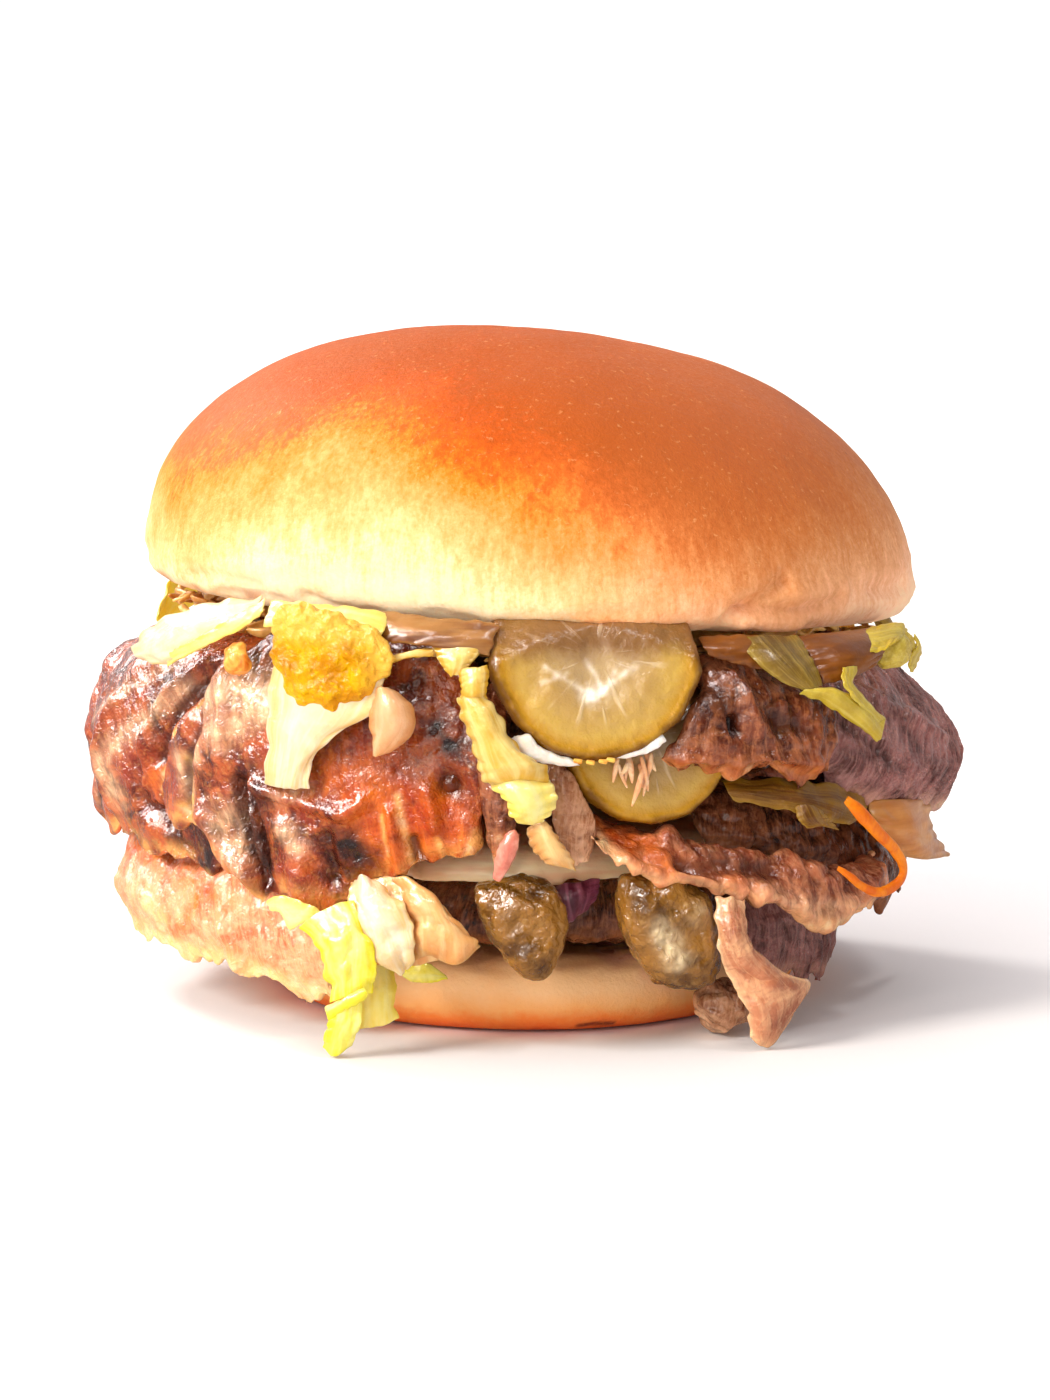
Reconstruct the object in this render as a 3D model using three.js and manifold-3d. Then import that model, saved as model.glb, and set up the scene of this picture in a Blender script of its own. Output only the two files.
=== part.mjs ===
// A loaded hamburger: a soft round bun filled with slices of glazed roast meat, pickles, relish,
// cabbage, lettuce and carrot.
// Millimetres, +Z up. The origin is the centre of the heel's flat underside, and the front faces -Y.
// Places are given round the burger as [bearing, radius, height]: the bearing is in degrees from
// the front, growing towards +X.

import * as THREE from "three";
import { mergeVertices } from "three/addons/utils/BufferGeometryUtils.js";
import Module from "manifold-3d";

const wasm = await Module();
wasm.setup();

// ---- Driving dimensions ----
const BUN_RADIUS = 57.8;
const CROWN_HEIGHT = 38.8; // from the cut face to the top
const CROWN_SEAT = 59; // height of the middle of the crown's cut face
const CROWN_ROLL = 3.2; // degrees that the crown leans to the right
const CROWN_SHIFT = 0.085; // how far the dome leans left, per millimetre of height
const CROWN_SIDES = 28;
const HEEL_RADIUS = 45;
const HEEL_HEIGHT = 11;
const HEEL_NARROW = 0.08; // how much narrower the heel is from side to side
const HEEL_FOOT = 39; // radius of the flat that the heel rests on
const HEEL_SIDES = 24;
const MEAT = 4.2; // thickness of a slice of meat
const LEAF = 1.4; // thickness of a cabbage or lettuce leaf
const PICKLE = 3.4; // thickness of a pickle slice
const PICKLE_SIDES = 14;
const CLEARANCE = 0.42; // how far a piece is cut back from the one it touches
const SLIVER = 0.05; // slivers thinner than this are dropped where pieces are cut

// ---- Looks ----
const finish = (color, roughness) => new THREE.MeshStandardMaterial({ color, roughness, metalness: 0 });
const LOOKS = {
  crust: finish(0xd98a4b, 0.55),
  crumb: finish(0xe8c08a, 0.8),
  roast: finish(0x7a3018, 0.3),
  seared: finish(0x5a3a36, 0.45),
  pale: finish(0xd99a7c, 0.45),
  cabbage: finish(0xf0e4ae, 0.4),
  lettuce: finish(0xd3dc4c, 0.4),
  pickle: finish(0xb9b35c, 0.25),
  relish: finish(0xe9bd12, 0.3),
  onion: finish(0xc9a986, 0.3),
  carrot: finish(0xf08a12, 0.35),
  purple: finish(0x5e1f5c, 0.35),
};

// ---- Small helpers ----
const radians = THREE.MathUtils.degToRad;
const lerp = THREE.MathUtils.lerp;
const ease = (x) => THREE.MathUtils.smoothstep(x, 0, 1);

/** The point at a bearing, a radius and a height round the burger. */
function polar([bearing, radius, height]) {
  const a = radians(bearing);
  return new THREE.Vector3(radius * Math.sin(a), -radius * Math.cos(a), height);
}

/** A smooth pseudo-random value from -1 to 1 for a point and a seed. */
function wave(p, seed, length) {
  const k = (2 * Math.PI) / length;
  const x = Math.sin(k * (p.x + 0.31 * p.z) + 1.7 * seed);
  const y = Math.sin(k * (0.83 * p.y - 0.42 * p.x) + 2.9 * seed);
  const z = Math.sin(k * (1.13 * p.z + 0.57 * p.y) + 4.3 * seed);
  return (x + y + z + x * y * z) / 4;
}

/** A fixed scatter from -1 to 1 for a whole number and a seed. */
function scatter(n, seed) {
  const s = Math.sin(12.9898 * n + 78.233 * seed) * 43758.5453;
  return 2 * (s - Math.floor(s)) - 1;
}

/** Reads a value that is one number, or a list of [place, value] pairs joined by straight lines. */
function along(table, place) {
  if (typeof table === "number") return table;
  const next = table.findIndex(([at]) => at >= place);
  if (next === 0) return table[0][1];
  if (next < 0) return table[table.length - 1][1];
  const [[a, low], [b, high]] = [table[next - 1], table[next]];
  return lerp(low, high, (place - a) / (b - a));
}

/** Reads evenly spaced values at a share from 0 to 1. */
function spread(values, share) {
  if (typeof values === "number") return values;
  return along(values.map((value, i) => [i / (values.length - 1), value]), share);
}

/** Moves every vertex of a closed geometry, merges its seams and turns it the right way out. */
function shaped(source, move) {
  const geometry = source.clone();
  geometry.deleteAttribute("normal");
  geometry.deleteAttribute("uv");
  const position = geometry.getAttribute("position");
  const p = new THREE.Vector3();
  for (let i = 0; i < position.count; i++) {
    p.fromBufferAttribute(position, i);
    const q = move(p);
    position.setXYZ(i, q.x, q.y, q.z);
  }
  const merged = mergeVertices(geometry, 1e-3);
  const index = merged.index.array;
  const corner = [new THREE.Vector3(), new THREE.Vector3(), new THREE.Vector3()];
  const at = merged.getAttribute("position");
  let volume = 0;
  for (let i = 0; i < index.length; i += 3) {
    corner.forEach((c, k) => c.fromBufferAttribute(at, index[i + k]));
    volume += corner[0].dot(corner[1].clone().cross(corner[2]));
  }
  if (volume < 0) for (let i = 0; i < index.length; i += 3) [index[i], index[i + 1]] = [index[i + 1], index[i]];
  return merged;
}

/** The geometry with each vertex moved out along its normal. */
function swollen(geometry, by) {
  const copy = geometry.clone();
  copy.computeVertexNormals();
  const position = copy.getAttribute("position");
  const normal = copy.getAttribute("normal");
  for (let i = 0; i < position.count; i++)
    position.setXYZ(
      i,
      position.getX(i) + by * normal.getX(i),
      position.getY(i) + by * normal.getY(i),
      position.getZ(i) + by * normal.getZ(i),
    );
  return copy;
}

function solid(geometry) {
  return new wasm.Manifold(
    new wasm.Mesh({
      numProp: 3,
      vertProperties: geometry.getAttribute("position").array,
      triVerts: new Uint32Array(geometry.index.array),
      tolerance: SLIVER,
    }),
  );
}

function geometryOf(manifold) {
  const mesh = manifold.getMesh();
  const at = new Float32Array(mesh.numVert * 3);
  for (let i = 0; i < mesh.numVert; i++)
    at.set(mesh.vertProperties.subarray(i * mesh.numProp, i * mesh.numProp + 3), i * 3);
  return new THREE.BufferGeometry()
    .setAttribute("position", new THREE.BufferAttribute(at, 3))
    .setIndex(new THREE.BufferAttribute(new Uint32Array(mesh.triVerts), 1));
}

/** Two geometries that overlap, as one closed body. */
const joined = (a, b) => geometryOf(solid(a).add(solid(b)));

// ---- Shapes ----

/** A turned body about Z from [radius, height] points, its vertices then moved by `shape`. */
function turned(profile, sides, shape) {
  const points = profile.map(([r, h]) => new THREE.Vector2(r, h));
  const lathe = new THREE.LatheGeometry(points, sides).rotateX(Math.PI / 2);
  return shaped(lathe, shape);
}

// How a slice falls over the rim: [share of its reach, share of its drop] from its root to its edge.
const HANG = [[0, 0], [0.42, 0], [0.8, 0.05], [0.95, 0.25], [1, 0.58], [0.98, 1]];
const SHOULDER = [[0, 0], [0.42, 0.02], [0.76, 0.1], [0.9, 0.26], [0.99, 0.5], [0.97, 1]];
const SLOPE = [[0, 0], [0.42, 0.04], [0.64, 0.17], [0.85, 0.44], [0.98, 0.72], [0.96, 1]];
const FLAP = [[0, 0], [0.4, 0.16], [0.75, 0.42], [1, 0.7], [0.96, 1]];

/**
 * A slice of meat draped over the rim of the pile. `left` and `right` are the bearings of its sides
 * from root to edge, `root` and `rim` the radii that it starts and hangs at, `high` the height of
 * its shoulder and `edge` that of its ragged lower edge, each by bearing. Its root lies `sink` lower
 * than its shoulder.
 */
function slice({
  left, right, root, rim, high, edge, sink = 0, fall = HANG, thick = MEAT, cols = 14, rows = 5, seed, swell = 1,
}) {
  const path = new THREE.SplineCurve(fall.map(([r, d]) => new THREE.Vector2(r, d)));
  const middle = (u, v) => {
    const side = u < 0.02 || u > 0.98 ? 1.6 * scatter(Math.round(v * rows), seed) : 0;
    const bearing = lerp(spread(left, v), spread(right, v), u) + side;
    const { x: out, y: drop } = path.getPoint(v);
    const ragged = v > 0.98 ? 0.7 * scatter(Math.round(u * cols), seed + 1) : 0;
    const lowest = along(edge, bearing) + ragged;
    const height = lerp(along(high, bearing), lowest, drop) - sink * (1 - ease(out / 0.8));
    const p = polar([bearing, lerp(along(root, bearing), along(rim, bearing), out), height]);
    const bulge = swell * ease(2 * v) * wave(p, seed, 17);
    return p.add(polar([bearing, bulge, 0.4 * bulge]));
  };
  const step = 1e-3;
  return shaped(new THREE.BoxGeometry(1, 1, 1, cols, rows, 1), ({ x, y, z }) => {
    const [u, v] = [x + 0.5, 0.5 - y];
    const p = middle(u, v);
    const across = middle(u < 0.5 ? u + step : u - step, v).sub(p);
    const down = middle(u, v < 0.5 ? v + step : v - step).sub(p);
    if (u >= 0.5 !== v >= 0.5) across.negate();
    const taper = 0.4 + 0.6 * ease(5 * Math.min(u, 1 - u)) * ease(6 * Math.min(1 - v, v + 0.1));
    return p.add(across.cross(down).normalize().multiplyScalar(z * thick * taper));
  });
}

/**
 * A strip of leaf, onion or carrot along a curve through `spine`. It faces outwards, turned by
 * `turn` degrees about the curve, with a bowed section and edges that ruffle.
 */
function strip({
  spine, width, thick = LEAF, turn = 0, cup = 0.12, ruffle = 0, waves = 3, cols = 8, rows = 2, seed,
}) {
  const curve = new THREE.CatmullRomCurve3(spine.map(polar), false, "centripetal");
  return shaped(new THREE.BoxGeometry(1, 1, 1, cols, rows, 1), ({ x, y, z }) => {
    const [t, s] = [x + 0.5, 2 * y];
    const p = curve.getPoint(t);
    const way = curve.getTangent(t);
    const out = new THREE.Vector3(p.x, p.y, 0).normalize();
    const side = new THREE.Vector3().crossVectors(way, out).normalize();
    side.applyAxisAngle(way, radians(spread(turn, t)));
    const face = new THREE.Vector3().crossVectors(side, way);
    const half = spread(width, t) / 2;
    const edge = half * (1 + 0.1 * scatter(Math.round(t * cols), seed + Math.sign(s)));
    const bow = cup * half * (1 - s * s) + ruffle * s * Math.sin(2 * Math.PI * (waves * t + 0.25 * s) + seed);
    const taper = 0.45 + 0.55 * (1 - s * s);
    return p.addScaledVector(side, s * edge).addScaledVector(face, bow + z * thick * taper);
  });
}

/** A lumpy piece of half-sizes [across, deep, high] at a place, `taper` narrowing it downwards. */
function chunk({ at, size, taper = 0, lumps = 0.12, tilt = 0, seed, cols = 10, rows = 6 }) {
  const [bearing] = at;
  const centre = polar(at);
  const [across, deep, high] = size;
  const up = new THREE.Vector3(0, 0, 1);
  const out = new THREE.Vector3(0, -1, 0);
  return shaped(new THREE.SphereGeometry(1, cols, rows).rotateX(Math.PI / 2), (p) => {
    const boxy = p.clone().multiplyScalar(1 + 0.16 * (Math.abs(p.x * p.z) + Math.abs(p.y * p.z)));
    const narrow = 1 - taper * (0.5 - 0.5 * p.z);
    const lump = 1 + lumps * wave(p, seed, 1.6);
    const q = new THREE.Vector3(boxy.x * across * narrow, boxy.y * deep, boxy.z * high).multiplyScalar(lump);
    return q.applyAxisAngle(out, radians(tilt)).applyAxisAngle(up, radians(bearing)).add(centre);
  });
}

/**
 * A round pickle slice whose lower half hangs at radius `out` and whose upper half bends in under
 * the layer above, at height `over`. `low` is the height of its lowest point.
 */
function pickleSlice({ bearing, out, over, low, radius, bend = 5, lean = 4, seed }) {
  const profile = [[0, 0.5], [0.55, 0.5], [0.93, 0.44], [1, 0], [0.93, -0.44], [0.55, -0.5], [0, -0.5]];
  const quarter = (bend * Math.PI) / 2;
  const hanging = over - bend - low;
  return turned(profile, PICKLE_SIDES, ({ x, y, z }) => {
    const wide = radius * x * (1 + 0.03 * Math.sin(5 * Math.atan2(y, x) + seed));
    const run = radius * (1 - y) - hanging; // how far past the start of the bend
    const turn = THREE.MathUtils.clamp(run / quarter, 0, 1) * (Math.PI / 2);
    const inward = bend * (1 - Math.cos(turn)) + Math.max(0, run - quarter);
    const rise = Math.min(0, run) + bend * Math.sin(turn);
    const depth = out - inward + Math.min(0, run) * Math.sin(radians(-lean));
    const offset = z * PICKLE;
    const away = depth + offset * Math.cos(turn);
    const height = over - bend + rise + offset * Math.sin(turn);
    const p = new THREE.Vector3(wide, -away, height);
    p.z += 0.4 * wave(p, seed, 14);
    return p.applyAxisAngle(new THREE.Vector3(0, 0, 1), radians(bearing));
  });
}

// ---- The bun ----

function crown() {
  const dome = (h) => BUN_RADIUS * (1 - (h / CROWN_HEIGHT) ** 2.5) ** 0.4545;
  const rings = [5, 9, 14, 19, 24, 28.5, 32, 35, 37.2, 38.5];
  const foot = [[0, 0], [30, -0.2], [49, -0.4], [54, -0.2], [56.4, 0.8], [57.6, 2.4]];
  const profile = [...foot, ...rings.map((h) => [dome(h), h]), [0, CROWN_HEIGHT]];
  const tilt = radians(CROWN_ROLL);
  return turned(profile, CROWN_SIDES, (p) => {
    const bearing = Math.atan2(p.x, -p.y);
    const round = Math.hypot(p.x, p.y) / BUN_RADIUS;
    const low = 1 - Math.max(0, p.z) / CROWN_HEIGHT;
    const lump = 1 + 0.01 * Math.sin(3 * bearing + 1) + 0.008 * Math.sin(5 * bearing) * low;
    const sag = 0.7 * round ** 4 * Math.sin(2 * bearing + 0.4) * low;
    const x = p.x * lump - CROWN_SHIFT * Math.max(0, p.z);
    const q = new THREE.Vector3(x, p.y * lump, p.z + sag + 0.35 * wave(p, 3, 40));
    return q.applyAxisAngle(new THREE.Vector3(0, 1, 0), tilt).add(new THREE.Vector3(0, 0, CROWN_SEAT));
  });
}

function heel() {
  const profile = [
    [0, 0], [HEEL_FOOT, 0], [HEEL_RADIUS - 3, 0.5], [HEEL_RADIUS - 0.8, 2.8], [HEEL_RADIUS, 5.8],
    [HEEL_RADIUS - 0.4, 8.6], [HEEL_RADIUS - 2.4, HEEL_HEIGHT - 0.5], [HEEL_RADIUS * 0.6, HEEL_HEIGHT],
    [0, HEEL_HEIGHT],
  ];
  return turned(profile, HEEL_SIDES, (p) => {
    const bearing = Math.atan2(p.x, -p.y);
    const round = 1 - HEEL_NARROW * Math.sin(bearing) ** 2;
    const lump = round + 0.012 * Math.sin(3 * bearing + 2) + 0.008 * Math.sin(7 * bearing);
    const sag = p.z > 3 ? 0.5 * wave(p, 5, 30) : 0;
    return new THREE.Vector3(p.x * lump, p.y * lump, p.z + sag);
  });
}

// ---- Layers that run through the burger ----

/** A lumpy round layer from [radius, height] points, its rim following `rim` by bearing. */
function layer(profile, rim, seed, { sides = 20, rough = 0.8, slope = 0 } = {}) {
  const widest = Math.max(...profile.map(([r]) => r));
  return turned(profile, sides, (p) => {
    const bearing = THREE.MathUtils.radToDeg(Math.atan2(p.x, -p.y));
    const out = Math.hypot(p.x, p.y) / widest;
    const scale = lerp(1, along(rim, bearing) / widest, out);
    const bump = rough * wave(p, seed, 15);
    return new THREE.Vector3(p.x * scale, p.y * scale, p.z + bump - slope * p.x);
  });
}

const cabbageBed = () =>
  layer(
    [[0, 55.4], [45, 54.8], [50.4, 55.2], [51, 56.8], [48, 57.8], [0, 57.8]],
    [[-180, 42], [-140, 42], [-130, 50], [-62, 50], [-44, 42], [46, 42], [64, 48], [150, 51], [164, 42], [180, 42]],
    2,
    { slope: 0.05, rough: 0.2 },
  );

const meatPile = () =>
  layer([[0, 35.2], [38, 35.2], [43, 37.8], [45, 41.4], [42, 45.4], [36, 47.2], [0, 47.4]], 45, 4, { slope: 0.03 });

const onionRound = () =>
  layer(
    [[0, 26], [38, 26.2], [48, 25.2], [52.4, 22.9], [54, 23], [53.4, 25.6], [50.2, 28], [40, 28.8], [0, 28.6]],
    [[-180, 40], [-60, 40], [-24, 45], [-15, 54], [12, 54], [22, 46], [60, 42], [180, 40]],
    6,
    { rough: 0.2 },
  );

const meatUnder = () =>
  layer(
    [[0, 12.1], [37, 12.1], [43, 12.8], [45, 16.4], [43, 20.6], [38, 22], [0, 22.2]],
    [[-180, 42], [-30, 44], [8, 45], [36, 42.4], [44, 39.6], [72, 39.6], [90, 41], [180, 42]],
    7,
    { rough: 0.3 },
  );

// ---- What the front shows ----

const glazed = () =>
  slice({
    left: [-38, -38, -43, -57, -64], right: [-14, -14, -13, -11, -8.4], root: 34, sink: 5, seed: 11, cols: 16,
    rim: [[-64, 61], [-52, 60.4], [-38, 59.6], [-30, 58.4], [-20, 57.6], [-5, 57.6]],
    high: [[-64, 56.4], [-45, 57.4], [-25, 56], [-5, 54.4]],
    edge: [
      [-64, 31.7], [-57, 28.7], [-48, 27.6], [-44, 24.3], [-40, 19.8], [-35, 21.3], [-27, 19.7], [-22, 25],
      [-18, 23.5], [-13, 27.2], [-11, 25.5], [-8, 29.3], [-5, 30],
    ],
  });

const leftFold = () =>
  slice({
    left: [-118, -124, -126, -124], right: [-48, -50, -49, -47], root: 36, sink: 2.5, seed: 12, cols: 12, thick: 3.8,
    rim: [[-126, 59], [-84, 64.4], [-66, 60], [-58, 56.6], [-47, 55.4]],
    high: [[-126, 52.6], [-90, 54.4], [-47, 54.6]],
    edge: [[-124, 27], [-108, 23.5], [-98, 26], [-88, 23.4], [-72, 24.2], [-60, 22.2], [-54, 21.4], [-47, 27.9]],
    fall: SHOULDER,
  });

const paleSlice = () =>
  slice({
    left: [-108, -112, -110], right: [-28, -29.5, -30], root: 42, seed: 13, cols: 13, fall: SLOPE,
    rim: [[-112, 57.6], [-84, 61], [-69, 58], [-58, 56], [-28, 55]],
    high: [[-112, 31], [-84, 32], [-28, 31]],
    edge: [
      [-112, 12], [-100, 10.5], [-84, 9.6], [-69, 8.5], [-62, 7.1], [-52, 9.1], [-45, 6.8], [-36, 5.4], [-28, 5.7],
    ],
  });

const brownSlice = () =>
  slice({
    left: [28, 24, 20, 16.4], right: [46, 46, 45, 44], root: 38, sink: 1, seed: 14, cols: 10, rim: 60,
    high: [[16, 52.6], [30, 52.2], [46, 49]],
    edge: [[16, 41], [18, 39], [21, 37.5], [25, 38.5], [33, 36.8], [39, 36.5], [44, 38]],
  });

const grainSlice = () =>
  slice({
    left: [49, 48, 46, 43.4], right: [110, 115, 112], root: 34, seed: 15, cols: 14, fall: SLOPE, thick: 4.6,
    rim: [[43, 57.6], [57, 59.6], [70, 61.4], [84, 62.8], [100, 61], [115, 58.6]],
    high: [[43, 50], [84, 50.6], [115, 52]],
    edge: [
      [43, 36.6], [49, 33.4], [54, 30], [66, 29], [73, 28], [78, 26.8], [86, 30], [94, 28], [104, 30.5], [115, 27],
    ],
  });

const orangeSlice = () =>
  slice({
    left: [3, 6, 8, 9], right: [59, 58.5, 57], seed: 16, cols: 14, rows: 4, fall: FLAP, thick: 2.8, swell: 0.4,
    root: [[6, 49], [18, 52], [26, 56.6], [60, 56.4]],
    rim: [[8, 60.5], [57, 60.5]],
    high: [[6, 32.4], [17, 29.8], [24, 28.6], [34, 26.6], [49, 23.4], [60, 23]],
    edge: [
      [8, 28.4], [13, 25.6], [21, 22.5], [25, 21.8], [28, 18.7], [31, 20.5], [35, 17.4], [42, 15.4], [51, 16.1],
      [57, 17.7],
    ],
  });

const darkSlice = () =>
  slice({
    left: [23, 24, 25], right: [92, 90, 86], root: 45.8, seed: 17, cols: 12, rows: 4, thick: 3, swell: 0.4,
    rim: [[22, 53.4], [56, 53.4], [68, 55], [90, 56]],
    high: [[22, 34.6], [60, 33.4], [90, 31]],
    edge: [[24, 27.5], [35, 25], [50, 21], [60, 17], [70, 13.5], [80, 14], [86, 17]],
    fall: SLOPE,
  });

const lowSlab = () =>
  slice({
    left: [40, 40, 41], right: [72, 71, 68], root: 42.6, rim: 48, seed: 18, cols: 7, rows: 3, thick: 3.2,
    high: 20, edge: [[40, 6], [50, 5], [60, 4.2], [66, 5.4], [71, 9]], swell: 0.3,
  });

const midStrip = () =>
  strip({
    spine: [[-5.6, 50, 50], [-5.6, 56.6, 45.5], [-4.6, 58.8, 37], [-4, 58.6, 30], [-5, 58, 24.9]],
    width: [4.6, 5, 5.2, 4.2, 1], thick: 2.6, seed: 21,
  });

const centreStrip = () =>
  strip({
    spine: [[3.4, 49.4, 43.6], [4.2, 55.4, 41], [5, 57, 35.6], [6.2, 57, 30.4], [6.8, 56.8, 26.6]],
    width: [4.6, 5.2, 5.4, 5.6, 3], thick: 2.4, seed: 22,
  });

const strand = () =>
  strip({
    spine: [
      [26.6, 58.6, 21.4], [27, 60.4, 17.4], [27.6, 60.6, 13.8], [29.8, 60.8, 10.6], [33.4, 61, 7.8], [35.4, 61, 4.8],
      [34, 60.6, 1.4],
    ],
    width: [3.4, 2.8, 3.2, 6.6, 11, 8.6, 2.6], thick: 2, seed: 23, cols: 12,
  });

const lowLump = () => chunk({ at: [33, 51, 4.4], size: [5.8, 4.6, 3.8], lumps: 0.3, seed: 24 });

const frontPickle = () => pickleSlice({ bearing: 8.5, out: 59.6, over: 55.6, low: 41.4, radius: 14.6, seed: 31 });

const lowerPickle = () =>
  pickleSlice({ bearing: 17, out: 54.8, over: 49.4, low: 31.8, radius: 12.4, lean: 5, bend: 6, seed: 32 });

const pickleWedge = () => chunk({ at: [-3, 49.4, 15.8], size: [8, 4, 6.8], taper: 0.5, tilt: 16, seed: 33 });

const pickleChunk = () => chunk({ at: [24.6, 49.6, 14.6], size: [7.2, 3.8, 7.4], taper: 0.2, lumps: 0.2, seed: 34 });

const relish = () =>
  chunk({ at: [-26.2, 63, 54.8], size: [11.2, 2.9, 6.8], taper: 0.4, tilt: -18, lumps: 0.16, seed: 35, cols: 14 });

const crisp = () =>
  chunk({ at: [-40.4, 62.8, 54], size: [2.2, 1.7, 2.5], tilt: 20, lumps: 0.3, seed: 36, cols: 7, rows: 4 });

const leftLeaf = () =>
  strip({
    spine: [[-30, 54, 59.4], [-40, 58.8, 58.6], [-52, 61.6, 56.4], [-64, 62.8, 54.4], [-75, 62.8, 53.2]],
    width: [4.4, 5.6, 6.4, 6, 3.4], thick: 2, turn: -12, seed: 41,
  });

const relishLeaf = () =>
  strip({
    spine: [[-20.4, 61.6, 50.6], [-24.8, 62.4, 46.6], [-29.6, 62.8, 43.2], [-32.4, 63, 40.2], [-32.8, 62.8, 37.6]],
    width: [4.6, 9.4, 10.6, 8.2, 7], thick: 1.4, cup: 0.03, ruffle: 0.3, seed: 42,
  });

const whiteCurl = () =>
  strip({
    spine: [[-18.6, 61.4, 51], [-17.4, 63.4, 48.4], [-17, 63.8, 45.8], [-18.8, 63, 43.4], [-20.2, 62, 42.2]],
    width: [3, 6, 6.2, 3.2, 0.8], thick: 2.2, cup: 0.35, seed: 43,
  });

const crownLeaf = () =>
  strip({
    spine: [[-19.8, 60.6, 53.8], [-15.6, 60.8, 55.6], [-11.4, 61, 55.4], [-8.6, 60.2, 56.6]],
    width: [0.9, 1.8, 4.2, 2], thick: 1.2, seed: 44, cols: 7,
  });

const topOnion = () =>
  strip({
    spine: [[-20, 57.6, 58], [-16.6, 58.6, 58], [-11.6, 59, 57.6], [-7, 58, 57.2]],
    width: [2.6, 3.6, 3.6, 3], thick: 1.6, seed: 40, cols: 7,
  });

const rope = () =>
  strip({
    spine: [
      [-8, 60.8, 55], [-7.3, 61.8, 53], [-6.6, 62, 49], [-4.5, 62.4, 43.6], [-1.6, 62.6, 39.4], [0, 62.4, 36.6],
      [0.4, 61.8, 33.6],
    ],
    width: [3, 3.8, 4.2, 5.2, 8, 6.8, 2.4], thick: 2.2, cup: 0.35, ruffle: 0.5, waves: 2, seed: 45, cols: 13,
  });

const smallLeaf = () =>
  strip({
    spine: [[0.4, 59, 33], [2, 60.2, 30.6], [4, 60.4, 28.2], [5.8, 60, 26.6]],
    width: [4.6, 5.4, 3.4, 1.2], thick: 1.5, seed: 46, cols: 6,
  });

const stripedLeaf = () =>
  strip({
    spine: [[29, 56, 56.4], [33, 59.4, 55.4], [37, 62, 53], [40.6, 63, 51]],
    width: [4.6, 5.4, 5.2, 3], thick: 1.3, turn: 8, seed: 47, cols: 7,
  });

const foldedLeaf = () =>
  joined(
    strip({
      spine: [[38.6, 63.4, 49.8], [42, 64, 48.6], [46.5, 64.4, 45.8], [51.8, 65, 42.6]],
      width: [1.6, 3.6, 5.2, 4.6], thick: 1.2, cup: -0.3, seed: 48, cols: 7,
    }),
    strip({
      spine: [[47.4, 63, 51.6], [45, 64.2, 51.4], [45.6, 64.8, 48.6], [49, 64.8, 46.2]],
      width: [1.4, 2, 2.4, 1.6], thick: 1.2, seed: 49, cols: 6, rows: 1,
    }),
  );

const amberOnion = () =>
  chunk({ at: [49, 55.4, 53.4], size: [9.2, 3.2, 2.2], lumps: 0.08, tilt: 4, seed: 51 });

const greenBead = () =>
  joined(
    chunk({ at: [57.4, 60.6, 53.6], size: [3.2, 2.6, 2.8], lumps: 0.16, seed: 52, cols: 9, rows: 6 }),
    strip({
      spine: [[58.4, 60.6, 55.6], [61, 61.4, 54.8], [62.6, 61.6, 53], [61.8, 61.8, 50.6]],
      width: [2.4, 2.2, 1.7, 1], thick: 1.2, seed: 53, cols: 5, rows: 1,
    }),
  );

const middleLeaf = () =>
  strip({
    spine: [[29, 56, 35.8], [35, 57.4, 34.8], [42, 58.2, 32.4], [48, 58.4, 30.2], [55, 57.8, 27.4]],
    width: [2.4, 4.4, 5.6, 5, 3], thick: 1.6, seed: 54, ruffle: 0.3,
  });

const rightOnion = () =>
  strip({
    spine: [[58, 58, 26.4], [65, 60, 26], [72, 61.2, 24.4], [79, 61.8, 21.6], [86, 61.8, 19.4]],
    width: [5, 7, 7.6, 5.4, 2.2], thick: 1.8, seed: 55,
  });

const carrot = () =>
  strip({
    spine: [
      [48, 62.4, 32.6], [51.4, 63.4, 29.2], [54.6, 64, 26.2], [57.4, 64.2, 23.6], [59, 64, 21.4], [57.8, 63.8, 19.8],
      [54, 63.4, 19.6], [49, 62.8, 21.2], [45, 62.4, 23.6],
    ],
    width: [3, 2.8, 2.6, 2.2, 2, 2.2, 2, 1.6, 1.1], thick: 1.6, cup: 0, seed: 56, cols: 18, rows: 1,
  });

const yellowLeaf = () =>
  strip({
    spine: [
      [-27.4, 60.4, 22.6], [-26.2, 62.6, 19.6], [-23.4, 63.8, 14.6], [-22.9, 63.8, 10], [-24, 63.4, 7.8],
      [-24.8, 63, 4.6], [-25.2, 62.6, 1.6],
    ],
    width: [5, 6.8, 7, 5.6, 3.6, 5, 5], thick: 1.5, cup: 0.3, ruffle: 0.4, seed: 57, cols: 12,
  });

const whiteLeaf = () =>
  strip({
    spine: [[-20, 51, 24.4], [-19.8, 56.6, 22], [-19.4, 60, 18.6], [-18.4, 61, 15], [-17.2, 60.8, 12.4]],
    width: [6, 8, 8.4, 5.8, 1.2], thick: 1.6, cup: 0.25, seed: 58,
  });

const creamLeaf = () =>
  strip({
    spine: [[-15.6, 55.4, 25], [-13.4, 57.8, 20.8], [-10.8, 58, 17], [-8, 57.4, 14.6]],
    width: [5, 7.6, 7, 2.4], thick: 1.6, cup: 0.3, ruffle: 0.4, seed: 59, cols: 7,
  });

const greenBit = () =>
  strip({
    spine: [[-20, 48, 10.8], [-16.6, 49, 10.4], [-12.6, 48.6, 9.6]],
    width: [1.8, 2.6, 0.9], thick: 1.3, seed: 60, cols: 5, rows: 1,
  });

const lowLeaf = () =>
  strip({
    spine: [[-22, 50, 13.6], [-22, 55.4, 10.8], [-21.8, 57, 7], [-22, 57, 3.2]],
    width: [5, 5.6, 5.8, 5], thick: 1.3, ruffle: 0.3, seed: 61, cols: 7,
  });

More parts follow.
